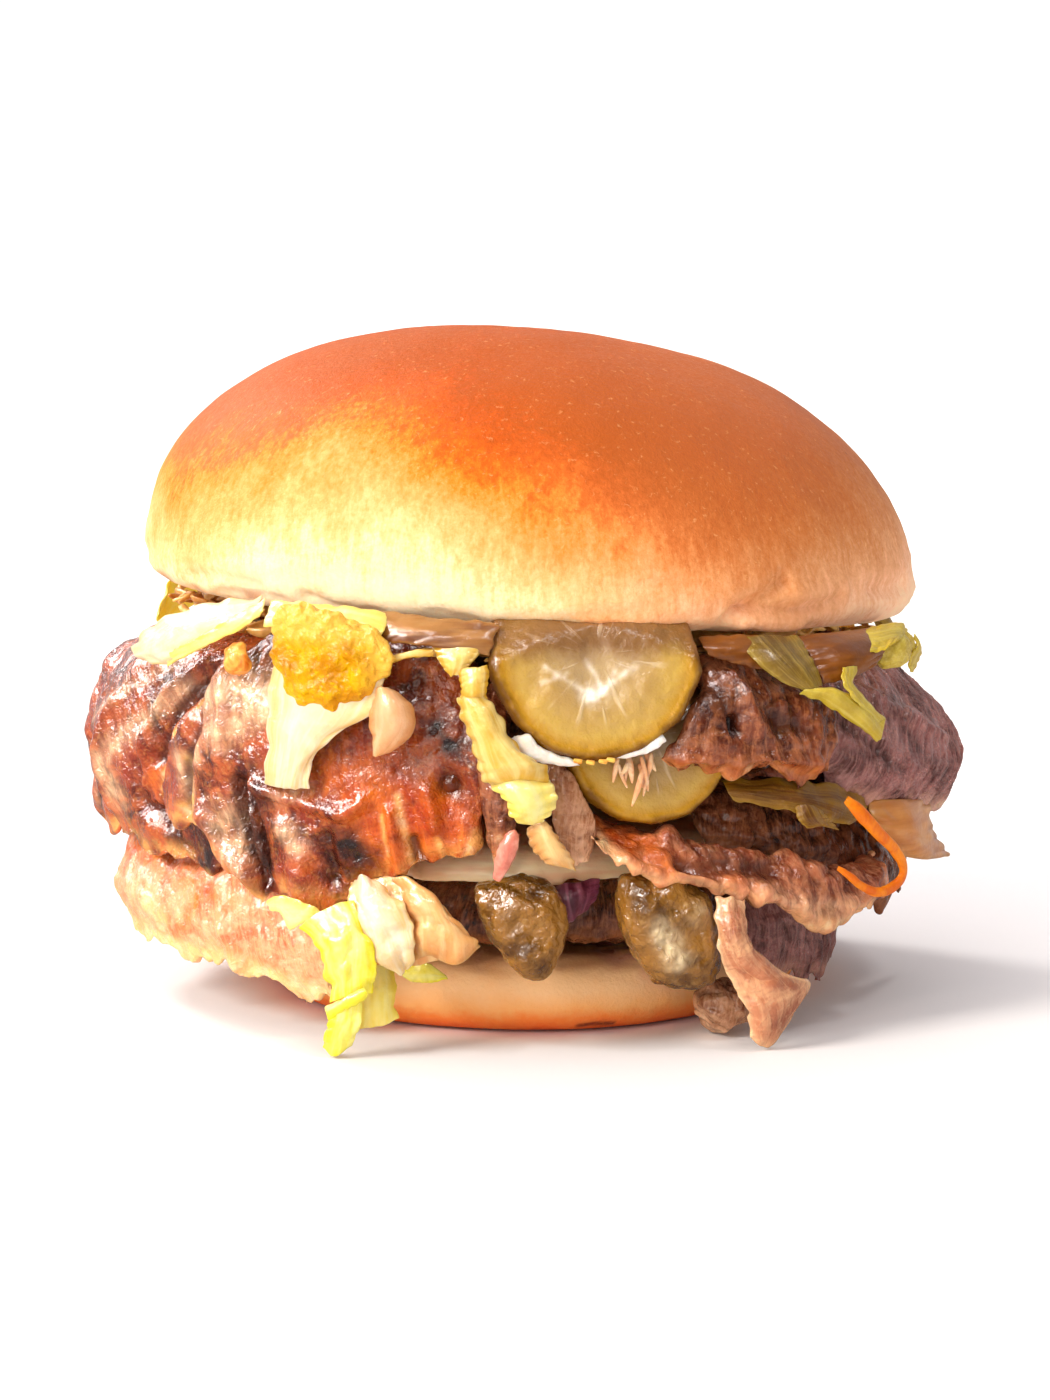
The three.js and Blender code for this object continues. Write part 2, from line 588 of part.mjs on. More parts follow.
const clearBit = () =>
  strip({
    spine: [[-35.6, 60.6, 18.6], [-32.6, 61, 17.8], [-29.8, 60.8, 18.6]],
    width: [2, 3.4, 1.8], thick: 1.2, seed: 62, cols: 5, rows: 1,
  });

const purpleBit = () =>
  strip({
    spine: [[4.4, 50.6, 22.2], [6.2, 51.6, 20.4], [8.2, 51.4, 17.8]],
    width: [4.6, 5.8, 1.2], thick: 1.3, cup: 0.2, turn: -20, seed: 63, cols: 5,
  });

// ---- The far side, finished like what shows ----

const backRightSlice = () =>
  slice({
    left: [122, 119, 117, 118], right: [178, 183, 182], root: 36, sink: 3, seed: 71, cols: 12, fall: SHOULDER,
    rim: [[118, 57.6], [130, 60], [160, 60.6], [183, 59.4]],
    high: [[118, 52.6], [183, 54.6]],
    edge: [[118, 25], [127, 28], [139, 23.5], [150, 27], [160, 24], [169, 28.5], [183, 30]],
    swell: 1.4,
  });

const backLeftSlice = () =>
  slice({
    left: [-172, -175, -174], right: [-129, -129.5, -127], root: 36, sink: 3, seed: 72, cols: 10, fall: SHOULDER,
    rim: [[-175, 57.4], [-150, 60], [-127, 58.6]],
    high: [[-175, 54.6], [-127, 54.6]],
    edge: [[-175, 33], [-163, 30], [-155, 34], [-144, 28.5], [-135, 31], [-127, 29]],
    swell: 1.4,
  });

const backLowSlice = () =>
  slice({
    left: [93, 92, 94], right: [168, 172, 170], root: 42, seed: 73, cols: 11, rows: 4, thick: 3.4, fall: SLOPE,
    rim: [[92, 56], [130, 57.6], [172, 56]],
    high: [[92, 31], [130, 32], [172, 31]],
    edge: [[92, 16], [108, 13], [119, 17], [131, 12.5], [143, 15.5], [156, 13], [172, 17]],
  });

const farLeftSlice = () =>
  slice({
    left: [-178, -183, -182], right: [-115, -115, -114], root: 42, seed: 74, cols: 10, rows: 4, thick: 3.4,
    rim: [[-183, 56], [-150, 57.6], [-114, 56.4]],
    high: [[-183, 31.4], [-114, 31]],
    edge: [[-183, 14], [-168, 10.5], [-158, 13.5], [-146, 9.5], [-133, 12], [-114, 9]],
    fall: SLOPE,
  });

const backPickle = () => pickleSlice({ bearing: 176, out: 63.2, over: 55.6, low: 40.6, radius: 14, seed: 75 });

const sidePickle = () => pickleSlice({ bearing: -150, out: 64, over: 58.6, low: 43.8, radius: 13, seed: 76 });

const backChunk = () =>
  chunk({ at: [150, 49, 15.4], size: [7.4, 3.8, 6.6], taper: 0.3, lumps: 0.2, tilt: 12, seed: 77 });

const backRope = () =>
  strip({
    spine: [[132, 59, 55.4], [131, 62.8, 52], [128.6, 63.6, 46], [130.4, 63.6, 40.6], [133, 63, 35.6]],
    width: [4.6, 5.4, 6.4, 5, 2.4], thick: 2, cup: 0.3, ruffle: 0.5, seed: 78,
  });

const backCabbage = () =>
  strip({
    spine: [[-168, 58.6, 56.4], [-166, 62.6, 53.6], [-164, 63.6, 49], [-162.6, 63.4, 44.6]],
    width: [7, 9, 8, 4], thick: 1.6, ruffle: 0.5, seed: 79, cols: 7,
  });

const backLow = () =>
  strip({
    spine: [[177, 54, 24], [176, 58.6, 20.6], [175, 60, 15.6], [176, 59.6, 10.6]],
    width: [7, 9, 7.4, 3], thick: 1.7, cup: 0.25, ruffle: 0.5, seed: 80, cols: 7,
  });

const sideLeaf = () =>
  strip({
    spine: [[-126, 55, 59], [-121, 59.6, 57.8], [-116, 61.4, 55.4], [-112, 62, 51.6]],
    width: [4.4, 6.4, 6.6, 3], thick: 1.6, ruffle: 0.5, cup: 0.2, seed: 81, cols: 7,
  });

const rightShred = () =>
  strip({
    spine: [[112, 54.6, 54.4], [113, 59, 51.6], [114.6, 61.6, 46.4], [114, 62, 41]],
    width: [4.4, 6, 5, 2], thick: 1.6, ruffle: 0.4, cup: 0.25, seed: 82, cols: 7,
  });

// Every piece by name, in the order that they hold their place: each is cut back from those before it.
const PIECES = [
  ["bun_crown", crown, "crust"],
  ["bun_heel", heel, "crumb"],
  ["relish_blob", relish, "relish"],
  ["carrot_shred", carrot, "carrot"],
  ["lettuce_rope", rope, "lettuce"],
  ["lettuce_small", smallLeaf, "cabbage"],
  ["lettuce_yellow", yellowLeaf, "lettuce"],
  ["lettuce_fold", foldedLeaf, "lettuce"],
  ["lettuce_bead", greenBead, "lettuce"],
  ["lettuce_striped", stripedLeaf, "lettuce"],
  ["lettuce_crown", crownLeaf, "lettuce"],
  ["lettuce_bit", greenBit, "lettuce"],
  ["cabbage_left", leftLeaf, "cabbage"],
  ["cabbage_white", whiteLeaf, "cabbage"],
  ["cabbage_cream", creamLeaf, "cabbage"],
  ["cabbage_low", lowLeaf, "cabbage"],
  ["cabbage_clear", clearBit, "cabbage"],
  ["cabbage_curl", whiteCurl, "cabbage"],
  ["cabbage_relish", relishLeaf, "cabbage"],
  ["onion_top", topOnion, "onion"],
  ["cabbage_purple", purpleBit, "purple"],
  ["crisp_bit", crisp, "relish"],
  ["pickle_front", frontPickle, "pickle"],
  ["pickle_lower", lowerPickle, "pickle"],
  ["pickle_wedge", pickleWedge, "pickle"],
  ["pickle_chunk", pickleChunk, "pickle"],
  ["onion_amber", amberOnion, "onion"],
  ["onion_right", rightOnion, "cabbage"],
  ["lettuce_middle", middleLeaf, "lettuce"],
  ["lettuce_back_rope", backRope, "lettuce"],
  ["cabbage_back", backCabbage, "cabbage"],
  ["cabbage_back_low", backLow, "cabbage"],
  ["cabbage_side", sideLeaf, "cabbage"],
  ["lettuce_right", rightShred, "lettuce"],
  ["pickle_back", backPickle, "pickle"],
  ["pickle_side", sidePickle, "pickle"],
  ["pickle_back_chunk", backChunk, "pickle"],
  ["meat_strand", strand, "roast"],
  ["meat_strip_mid", midStrip, "seared"],
  ["meat_strip_centre", centreStrip, "seared"],
  ["meat_brown", brownSlice, "roast"],
  ["meat_glazed", glazed, "roast"],
  ["meat_left_fold", leftFold, "roast"],
  ["meat_grain", grainSlice, "seared"],
  ["meat_orange", orangeSlice, "roast"],
  ["meat_dark", darkSlice, "seared"],
  ["meat_pale", paleSlice, "pale"],
  ["meat_low_slab", lowSlab, "seared"],
  ["meat_low_lump", lowLump, "roast"],
  ["meat_back_right", backRightSlice, "roast"],
  ["meat_back_left", backLeftSlice, "roast"],
  ["meat_back_low", backLowSlice, "roast"],
  ["meat_far_left", farLeftSlice, "pale"],
  ["onion_round", onionRound, "onion"],
  ["cabbage_bed", cabbageBed, "cabbage"],
  ["meat_pile", meatPile, "roast"],
  ["meat_under", meatUnder, "seared"],
];

/** Builds every piece, cut back from the ones that hold their place before it. */
function assembled() {
  const group = new THREE.Group();
  const placed = [];
  for (const [name, make, look] of PIECES) {
    const whole = make();
    const box = new THREE.Box3().setFromBufferAttribute(whole.getAttribute("position"));
    let body = solid(whole);
    for (const { room, reach } of placed) if (reach.intersectsBox(box)) body = body.subtract(room);
    const largest = body.decompose().sort((a, b) => b.volume() - a.volume())[0];
    const geometry = geometryOf(largest);
    const mesh = new THREE.Mesh(geometry, LOOKS[look]);
    mesh.name = name;
    group.add(mesh);
    const grown = swollen(whole, CLEARANCE);
    const reach = new THREE.Box3().setFromBufferAttribute(grown.getAttribute("position"));
    placed.push({ room: solid(grown), reach });
  }
  return group;
}

const burger = assembled();
burger.name = "hamburger";

export default burger;
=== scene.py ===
"""A loaded hamburger: its looks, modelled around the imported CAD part."""

import itertools
import math
import random

import bpy
import numpy as np
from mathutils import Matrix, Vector


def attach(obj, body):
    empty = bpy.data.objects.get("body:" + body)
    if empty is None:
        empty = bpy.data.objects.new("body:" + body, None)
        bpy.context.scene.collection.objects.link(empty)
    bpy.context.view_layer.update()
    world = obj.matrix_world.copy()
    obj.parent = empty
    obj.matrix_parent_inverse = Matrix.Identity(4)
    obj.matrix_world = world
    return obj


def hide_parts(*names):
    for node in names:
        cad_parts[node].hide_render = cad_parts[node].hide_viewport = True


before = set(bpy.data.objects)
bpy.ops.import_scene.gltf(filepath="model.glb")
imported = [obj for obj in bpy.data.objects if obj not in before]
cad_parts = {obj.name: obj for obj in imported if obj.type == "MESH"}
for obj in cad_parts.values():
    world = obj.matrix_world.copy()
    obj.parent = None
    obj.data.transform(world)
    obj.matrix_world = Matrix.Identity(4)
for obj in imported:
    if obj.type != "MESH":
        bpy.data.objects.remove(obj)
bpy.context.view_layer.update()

scene = bpy.context.scene

# ---- Measures, in millimetres ----
MM = 0.001  # metres in a millimetre
RIM = 58.0  # radius at which places round the burger are unrolled into a flat strip
CROWN_SEAT = 59.0  # height of the middle of the crown's cut face
CROWN_ROLL = math.radians(3.2)  # how far the crown leans, low on the right
CROWN_HEIGHT = 38.8
HEM_STEP = 1.5  # degrees of bearing over which the lowest edge of a slice is looked for
UNDER_LIP = (51, 57)  # heights between which a piece's top rises under the crown's lip
MEAT_MIDDLE = 40  # height at which the grain of a leaning slice is upright
SHREDS = 230  # shreds of cabbage under the crown
THREADS = 12  # torn strands in the bundle


# ---- Handling pieces ----
def only(piece):
    """Selects one piece and nothing else."""
    bpy.ops.object.select_all(action="DESELECT")
    piece.select_set(True)
    bpy.context.view_layer.objects.active = piece


def new_piece(name, mesh):
    piece = bpy.data.objects.new(name, mesh)
    scene.collection.objects.link(piece)
    only(piece)
    return piece


def copy_of(node, name):
    """A copy of a CAD node with its loose triangles joined, ready to be shaped."""
    piece = new_piece(name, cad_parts[node].data.copy())
    piece.data.materials.clear()
    bpy.ops.object.mode_set(mode="EDIT")
    bpy.ops.mesh.select_all(action="SELECT")
    bpy.ops.mesh.remove_doubles(threshold=1e-6)
    bpy.ops.object.mode_set(mode="OBJECT")
    if piece.data.has_custom_normals:
        bpy.ops.mesh.customdata_custom_splitnormals_clear()
    return piece


def applied(piece, kind, **settings):
    """Adds a modifier with its settings and applies it."""
    only(piece)
    modifier = piece.modifiers.new(kind.lower(), kind)
    for key, value in settings.items():
        setattr(modifier, key, value)
    bpy.ops.object.modifier_apply(modifier=modifier.name)


def divided(piece, levels):
    applied(piece, "SUBSURF", levels=levels, render_levels=levels)


def rounded(piece, voxel, smoothing, levels):
    """Rebuilds a piece in even faces `voxel` mm wide, rounds its facets off and divides it again."""
    applied(piece, "REMESH", mode="VOXEL", voxel_size=voxel * MM)
    applied(piece, "SMOOTH", factor=0.5, iterations=smoothing)
    if levels:
        divided(piece, levels)


def points(piece):
    at = np.empty(3 * len(piece.data.vertices), np.float32)
    piece.data.vertices.foreach_get("co", at)
    return at.reshape(-1, 3).astype(float) / MM


def place(piece, at):
    piece.data.vertices.foreach_set("co", (at * MM).astype(np.float32).ravel())
    piece.data.update()


def outward(piece):
    normal = np.empty(3 * len(piece.data.vertices), np.float32)
    piece.data.vertex_normals.foreach_get("vector", normal)
    return normal.reshape(-1, 3).astype(float)


def swell(piece, amount):
    """Moves each point out along its normal by its own amount, in mm."""
    place(piece, points(piece) + outward(piece) * np.asarray(amount)[:, None])


def note(piece, name, values):
    """Keeps a number or a vector for each point, for the materials to read."""
    flat = np.asarray(values, np.float32)
    kind, field = ("FLOAT", "value") if flat.ndim == 1 else ("FLOAT_VECTOR", "vector")
    layer = piece.data.attributes.get(name) or piece.data.attributes.new(name, kind, "POINT")
    layer.data.foreach_set(field, flat.ravel())


def served(piece, material, slot, *stands_for):
    """Finishes a piece: its material and the CAD nodes that it stands for; the slot is not used."""
    piece.data.materials.clear()
    piece.data.materials.append(material)
    only(piece)
    bpy.ops.object.shade_smooth()
    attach(piece, "root")
    if stands_for:
        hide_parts(*stands_for)
    return piece


# ---- Measuring places ----
def around(at):
    """Bearing from the front in degrees, radius and height of each point."""
    return np.degrees(np.arctan2(at[:, 0], -at[:, 1])), np.hypot(at[:, 0], at[:, 1]), at[:, 2]


def polar(bearing, radius, height):
    a = np.radians(bearing)
    return np.stack(np.broadcast_arrays(radius * np.sin(a), -radius * np.cos(a), height), -1)


def ease(x):
    x = np.clip(x, 0, 1)
    return x * x * (3 - 2 * x)


def between(x, low, high):
    """0 below `low`, 1 above `high` and a smooth rise from one to the other."""
    return ease((np.asarray(x) - low) / (high - low))


def lattice(p, seed):
    """Smooth noise with one lump to each unit cell, from about -1 to 1."""
    cell = np.floor(p).astype(np.int64)
    part = p - cell
    fade = part**3 * (part * (6 * part - 15) + 10)
    total = np.zeros(len(p))
    for corner in itertools.product((0, 1), repeat=3):
        c = cell + np.array(corner)
        h = (c[:, 0] * 73856093) ^ (c[:, 1] * 19349663) ^ (c[:, 2] * 83492791) ^ (seed * 668265263 + 97)
        h = ((h ^ (h >> 13)) * 1274126177) & 0xFFFFFFFF
        slope = np.stack([(h >> shift) & 0x3FF for shift in (2, 12, 22)], 1) / 511.5 - 1
        weight = np.prod(np.where(np.array(corner) == 1, fade, 1 - fade), 1)
        total += weight * np.sum(slope * (part - np.array(corner)), 1)
    return 1.5 * total


def lumps(at, size, seed=0, octaves=1):
    """Noise in lumps of `size` mm, which is one number or one for each direction, with finer octaves."""
    p, weight, total = at / np.asarray(size, float), 1.0, 0.0
    for octave in range(octaves):
        total = total + weight * lattice(p * 2**octave + 7.7 * octave, seed + octave)
        weight /= 2
    return total


def creases(at, size, seed=0, octaves=2):
    """Rounded swellings with sharp valleys between them, from 0 in a valley to about 1."""
    return np.clip(1.6 * np.abs(lumps(at, size, seed, octaves)), 0, 1) ** 0.7


def near(at, path, width):
    """1 on a path of [bearing, height] over the outside of the burger, fading out over `width` mm."""
    bearing, _, height = around(at)
    spot = np.stack([np.radians(bearing) * RIM, height], 1)
    line = np.array([[math.radians(b) * RIM, z] for b, z in path])
    if len(line) == 1:
        line = np.repeat(line, 2, 0)
    nearest = np.full(len(at), np.inf)
    for a, b in zip(line, line[1:]):
        run = b - a
        share = np.clip((spot - a) @ run / max(run @ run, 1e-9), 0, 1)
        nearest = np.minimum(nearest, np.hypot(*(spot - a - share[:, None] * run).T))
    return np.exp(-((nearest / (0.62 * width)) ** 2))


def strokes(at, marks):
    """Adds up strokes: each is a path of [bearing, height], a width in mm and a strength."""
    total = np.zeros(len(at))
    for path, width, strength in marks:
        total += strength * near(at, path, width)
    return total


def hem(at):
    """Height of each point above the lowest edge of its slice at that bearing."""
    bearing, _, height = around(at)
    bins = np.arange(-180, 180 + HEM_STEP, HEM_STEP)
    index = np.clip(((bearing + 180) / HEM_STEP).astype(int), 0, len(bins) - 1)
    lowest = np.full(len(bins), np.inf)
    np.minimum.at(lowest, index, height)
    known = np.isfinite(lowest)
    return height - np.interp(bearing, bins[known] + HEM_STEP / 2, lowest[known])


def curve_through(knots, share):
    """Points at shares from 0 to 1 of a smooth curve through `knots`."""
    knots = np.asarray(knots, float)
    last = len(knots) - 1
    padded = np.concatenate([[2 * knots[0] - knots[1]], knots, [2 * knots[-1] - knots[-2]]])
    run = np.clip(np.asarray(share) * last, 0, last - 1e-9)
    i = run.astype(int)
    t = (run - i).reshape(-1, *[1] * (knots.ndim - 1))
    a, b, c, d = (padded[i + k] for k in range(4))
    return 0.5 * (2 * b + (c - a) * t + (2 * a - 5 * b + 4 * c - d) * t**2 + (3 * b - a - 3 * c + d) * t**3)


def spread(values, share):
    """Reads evenly spaced values at shares from 0 to 1."""
    if np.isscalar(values):
        return np.full(np.shape(share), float(values))
    return np.interp(share, np.linspace(0, 1, len(values)), values)


def unit(v):
    return v / np.maximum(np.linalg.norm(v, axis=-1, keepdims=True), 1e-9)


# ---- Building materials ----
def tone(red, green, blue):
    """A colour as seen, 0 to 255, in the linear values that shaders take."""
    channels = [c / 255 for c in (red, green, blue)]
    return (*[c / 12.92 if c <= 0.04045 else ((c + 0.055) / 1.055) ** 2.4 for c in channels], 1)


def put(tree, kind, inputs=(), **settings):
    """Adds a shader node; each input is a value or another node's output."""
    made = tree.nodes.new(kind if kind.startswith("Node") else "ShaderNode" + kind)
    for key, value in settings.items():
        setattr(made, key, value)
    for key, value in dict(inputs).items():
        if isinstance(value, bpy.types.NodeSocket):
            tree.links.new(value, made.inputs[key])
        else:
            made.inputs[key].default_value = value
    return made


def blend(tree, share, low, high, how="MIX"):
    return put(tree, "Mix", {0: share, 6: low, 7: high}, data_type="RGBA", blend_type=how).outputs[2]


def sums(tree, how, a, b):
    return put(tree, "Math", {0: a, 1: b}, operation=how).outputs[0]


def times(tree, a, b):
    return sums(tree, "MULTIPLY", a, b)


def plus(tree, a, b):
    return sums(tree, "ADD", a, b)


def level(tree, value, low, high, bottom=0.0, top=1.0):
    """The value stretched from low..high to bottom..top, with soft ends."""
    inputs = {0: value, 1: low, 2: high, 3: bottom, 4: top}
    return put(tree, "MapRange", inputs, interpolation_type="SMOOTHSTEP").outputs[0]


def swing(tree, value, middle, size):
    """How far a noise is from its middle, times a size."""
    return times(tree, sums(tree, "SUBTRACT", value, middle), size)


def ramp(tree, value, stops):
    made = put(tree, "ValToRGB", {0: value})
    elements = made.color_ramp.elements
    while len(elements) < len(stops):
        elements.new(0.5)
    for element, (position, colour) in zip(elements, stops):
        element.position = position
        element.color = colour
    return made.outputs[0]


def noted(tree, name, output="Fac"):
    """What was noted on the piece under this name: a number, or with "Vector" a vector."""
    return put(tree, "Attribute", attribute_name=name).outputs[output]


def own_place(tree):
    """The place on the piece in millimetres."""
    where = put(tree, "TexCoord").outputs["Object"]
    return put(tree, "Mapping", {"Vector": where, "Scale": (1 / MM,) * 3}).outputs[0]


def noise(tree, vector, size, detail=3.0, rough=0.55, warp=0.0):
    inputs = {"Vector": vector, "Scale": 1 / size, "Detail": detail, "Roughness": rough, "Distortion": warp}
    return put(tree, "TexNoise", inputs).outputs[0]


def fresh(name, **constants):
    """A new material, with constants set on its shader's own sockets."""
    material = bpy.data.materials.new(name)
    material.use_nodes = True
    tree = material.node_tree
    shader = tree.nodes["Principled BSDF"]
    for key, value in constants.items():
        shader.inputs[key.replace("_", " ")].default_value = value
    return material, tree, shader


def new_group(name, inputs, outputs):
    """An empty node group with named inputs (with their defaults) and outputs."""
    tree = bpy.data.node_groups.new(name, "ShaderNodeTree")
    for label, (kind, value) in inputs.items():
        socket = tree.interface.new_socket(label, in_out="INPUT", socket_type="NodeSocket" + kind)
        if value is not None:
            socket.default_value = value
    for label in outputs:
        tree.interface.new_socket(label, in_out="OUTPUT", socket_type="NodeSocketFloat")
    return tree, put(tree, "NodeGroupInput").outputs, put(tree, "NodeGroupOutput").inputs


def fibre_group():
    """Long strands along the second axis of a place: how light each is and how high it stands."""
    sizes = {"Place": ("Vector", None), "Width": ("Float", 1.0), "Length": ("Float", 9.0)}
    tree, given, result = new_group("Fibres", sizes, ("Light", "Height"))
    across = put(tree, "SeparateXYZ", {0: given["Place"]}).outputs
    narrow = sums(tree, "DIVIDE", across[0], given["Width"])
    long = sums(tree, "DIVIDE", across[1], given["Length"])
    deep = sums(tree, "DIVIDE", across[2], given["Width"])
    strand = put(tree, "CombineXYZ", {0: narrow, 1: long, 2: deep}).outputs[0]
    coarse = noise(tree, strand, 1.6, 2.0, 0.6, 0.4)
    thin = noise(tree, strand, 0.55, 3.0, 0.6, 0.3)
    tree.links.new(level(tree, thin, 0.42, 0.68), result["Light"])
    tree.links.new(plus(tree, coarse, times(tree, thin, 0.5)), result["Height"])
    return tree


def blotch_group():
    """Soft patches of one size, their share of the surface and how sharp their edges are."""
    sizes = {
        "Place": ("Vector", None), "Size": ("Float", 8.0), "Share": ("Float", 0.5), "Soft": ("Float", 0.12),
    }
    tree, given, result = new_group("Blotches", sizes, ("Mask",))
    scale = sums(tree, "DIVIDE", 1.0, given["Size"])
    inputs = {"Vector": given["Place"], "Scale": scale, "Detail": 4.0, "Roughness": 0.6, "Distortion": 0.4}
    patch = put(tree, "TexNoise", inputs).outputs[0]
    middle = sums(tree, "SUBTRACT", 1.0, given["Share"])
    low = sums(tree, "SUBTRACT", middle, given["Soft"])
    high = plus(tree, middle, given["Soft"])
    tree.links.new(level(tree, patch, low, high), result["Mask"])
    return tree


def wet_group():
    """The puckered film of juice or glaze on a surface: broad ripples, beads and fine grains."""
    sizes = {"Place": ("Vector", None), "Size": ("Float", 1.4)}
    tree, given, result = new_group("Wet film", sizes, ("Height",))
    scale = sums(tree, "DIVIDE", 1.0, given["Size"])
    inputs = {"Vector": given["Place"], "Scale": scale, "Detail": 2.2, "Roughness": 0.6, "Distortion": 0.7}
    film = put(tree, "TexNoise", inputs).outputs[0]
    grain_scale = times(tree, scale, 1.9)
    where = {"Vector": given["Place"], "Scale": grain_scale}
    beads = put(tree, "TexVoronoi", where, feature="SMOOTH_F1").outputs[0]
    tree.links.new(sums(tree, "SUBTRACT", film, times(tree, beads, 0.3)), result["Height"])
    return tree


FIBRES, BLOTCHES, WET = fibre_group(), blotch_group(), wet_group()


def grouped(tree, group, **inputs):
    made = put(tree, "Group", node_tree=group)
    for key, value in inputs.items():
        if isinstance(value, bpy.types.NodeSocket):
            tree.links.new(value, made.inputs[key])
        else:
            made.inputs[key].default_value = value
    return made.outputs


def bumped(tree, shader, height, distance, strength=1.0):
    """Feeds a height in noise units, `distance` mm deep, to the shader's normal."""
    bump = put(tree, "Bump", {"Height": height, "Distance": distance * MM, "Strength": strength})
    tree.links.new(bump.outputs[0], shader.inputs["Normal"])


# ---- Materials ----
def crust_finish():
    """Baked crust: pale at its foot, golden and then red-brown over the top, with fine freckles."""
    material, tree, shader = fresh(
        "baked_crust", Subsurface_Weight=0.1, Subsurface_Radius=(1.0, 0.5, 0.25), Subsurface_Scale=0.003,
        Specular_IOR_Level=0.14,
    )
    place_mm = own_place(tree)
    cloud = noise(tree, place_mm, 13, 4.0, 0.6)
    streak = grouped(tree, FIBRES, Place=noted(tree, "flow", "Vector"), Width=0.8, Length=5.0)
    freckle = noise(tree, place_mm, 0.8, 4.0, 0.7)
    wander = plus(tree, swing(tree, cloud, 0.5, 0.42), swing(tree, streak["Height"], 0.75, 0.26))
    bake = plus(tree, noted(tree, "bake"), plus(tree, wander, swing(tree, freckle, 0.5, 0.3)))
    # Painted light: the "lit" ramp gives the left side, where the key lamp falls, a brighter, more
    # saturated orange.
    lit = ramp(tree, bake, [
        (0.0, tone(250, 230, 192)), (0.15, tone(250, 218, 165)), (0.25, tone(249, 195, 130)),
        (0.35, tone(248, 170, 97)),
        (0.45, tone(244, 149, 68)), (0.55, tone(231, 128, 22)), (0.65, tone(214, 94, 2)),
        (0.75, tone(192, 80, 3)),
        (0.85, tone(178, 78, 7)), (1.0, tone(177, 81, 19)),
    ])
    # The peach ramp gives the right side, away from the lamp, a duller tone: partly the bake's own, partly
    # painted shade.
    peach = ramp(tree, bake, [
        (0.0, tone(255, 235, 190)), (0.35, tone(254, 200, 158)), (0.45, tone(240, 174, 128)),
        (0.55, tone(224, 156, 104)),
        (0.65, tone(210, 134, 77)), (0.75, tone(201, 118, 60)), (0.85, tone(193, 106, 50)),
        (1.0, tone(187, 98, 46)),
    ])
    baked = blend(tree, noted(tree, "peach"), lit, peach)
    fleck = grouped(tree, BLOTCHES, Place=place_mm, Size=0.9, Share=0.34, Soft=0.06)["Mask"]
    baked = blend(tree, times(tree, fleck, 0.3), baked, tone(250, 196, 130))
    pore = put(tree, "TexVoronoi", {"Vector": place_mm, "Scale": 1 / 7.0}).outputs[0]
    pimple = level(tree, pore, 0.045, 0.08, 1.0, 0.0)
    rare = grouped(tree, BLOTCHES, Place=place_mm, Size=9.0, Share=0.4, Soft=0.02)["Mask"]
    baked = blend(tree, times(tree, pimple, rare), baked, tone(128, 52, 28))
    baked = blend(tree, noted(tree, "burnt"), baked, tone(160, 76, 36))
    crumb = blend(tree, noise(tree, place_mm, 2.2), tone(236, 204, 150), tone(252, 236, 200))
    baked = blend(tree, noted(tree, "crumb"), baked, crumb)
    tree.links.new(baked, shader.inputs["Base Color"])
    tree.links.new(level(tree, freckle, 0.2, 0.8, 0.4, 0.6), shader.inputs["Roughness"])
    skin = plus(tree, freckle, times(tree, noise(tree, place_mm, 0.35, 2.0), 0.4))
    bumped(tree, shader, skin, 0.16)
    return material


def heel_finish():
    """The heel: a toasted foot, pale sides and a moist crumb on top, stained by juice."""
    material, tree, shader = fresh(
        "heel_bread", Subsurface_Weight=0.12, Subsurface_Radius=(1.0, 0.5, 0.25), Subsurface_Scale=0.003,
        Specular_IOR_Level=0.35,
    )
    place_mm = own_place(tree)
    wander = swing(tree, noise(tree, place_mm, 7, 4.0), 0.5, 0.55)
    freckle = noise(tree, place_mm, 0.8, 4.0, 0.7)
    bake = plus(tree, noted(tree, "bake"), plus(tree, wander, swing(tree, freckle, 0.5, 0.16)))
    baked = ramp(tree, bake, [
        (0.0, tone(214, 88, 36)), (0.25, tone(248, 112, 40)), (0.45, tone(255, 142, 62)),
        (0.66, tone(255, 182, 108)), (1.0, tone(255, 202, 144)),
    ])
    baked = blend(tree, noted(tree, "burnt"), baked, tone(110, 44, 24))
    stained = blend(tree, noise(tree, place_mm, 3.0), tone(196, 112, 104), tone(226, 154, 134))
    baked = blend(tree, noted(tree, "juice"), baked, stained)
    tree.links.new(baked, shader.inputs["Base Color"])
    tree.links.new(level(tree, noted(tree, "juice"), 0.1, 0.7, 0.6, 0.25), shader.inputs["Roughness"])
    bumped(tree, shader, freckle, 0.2)
    return material


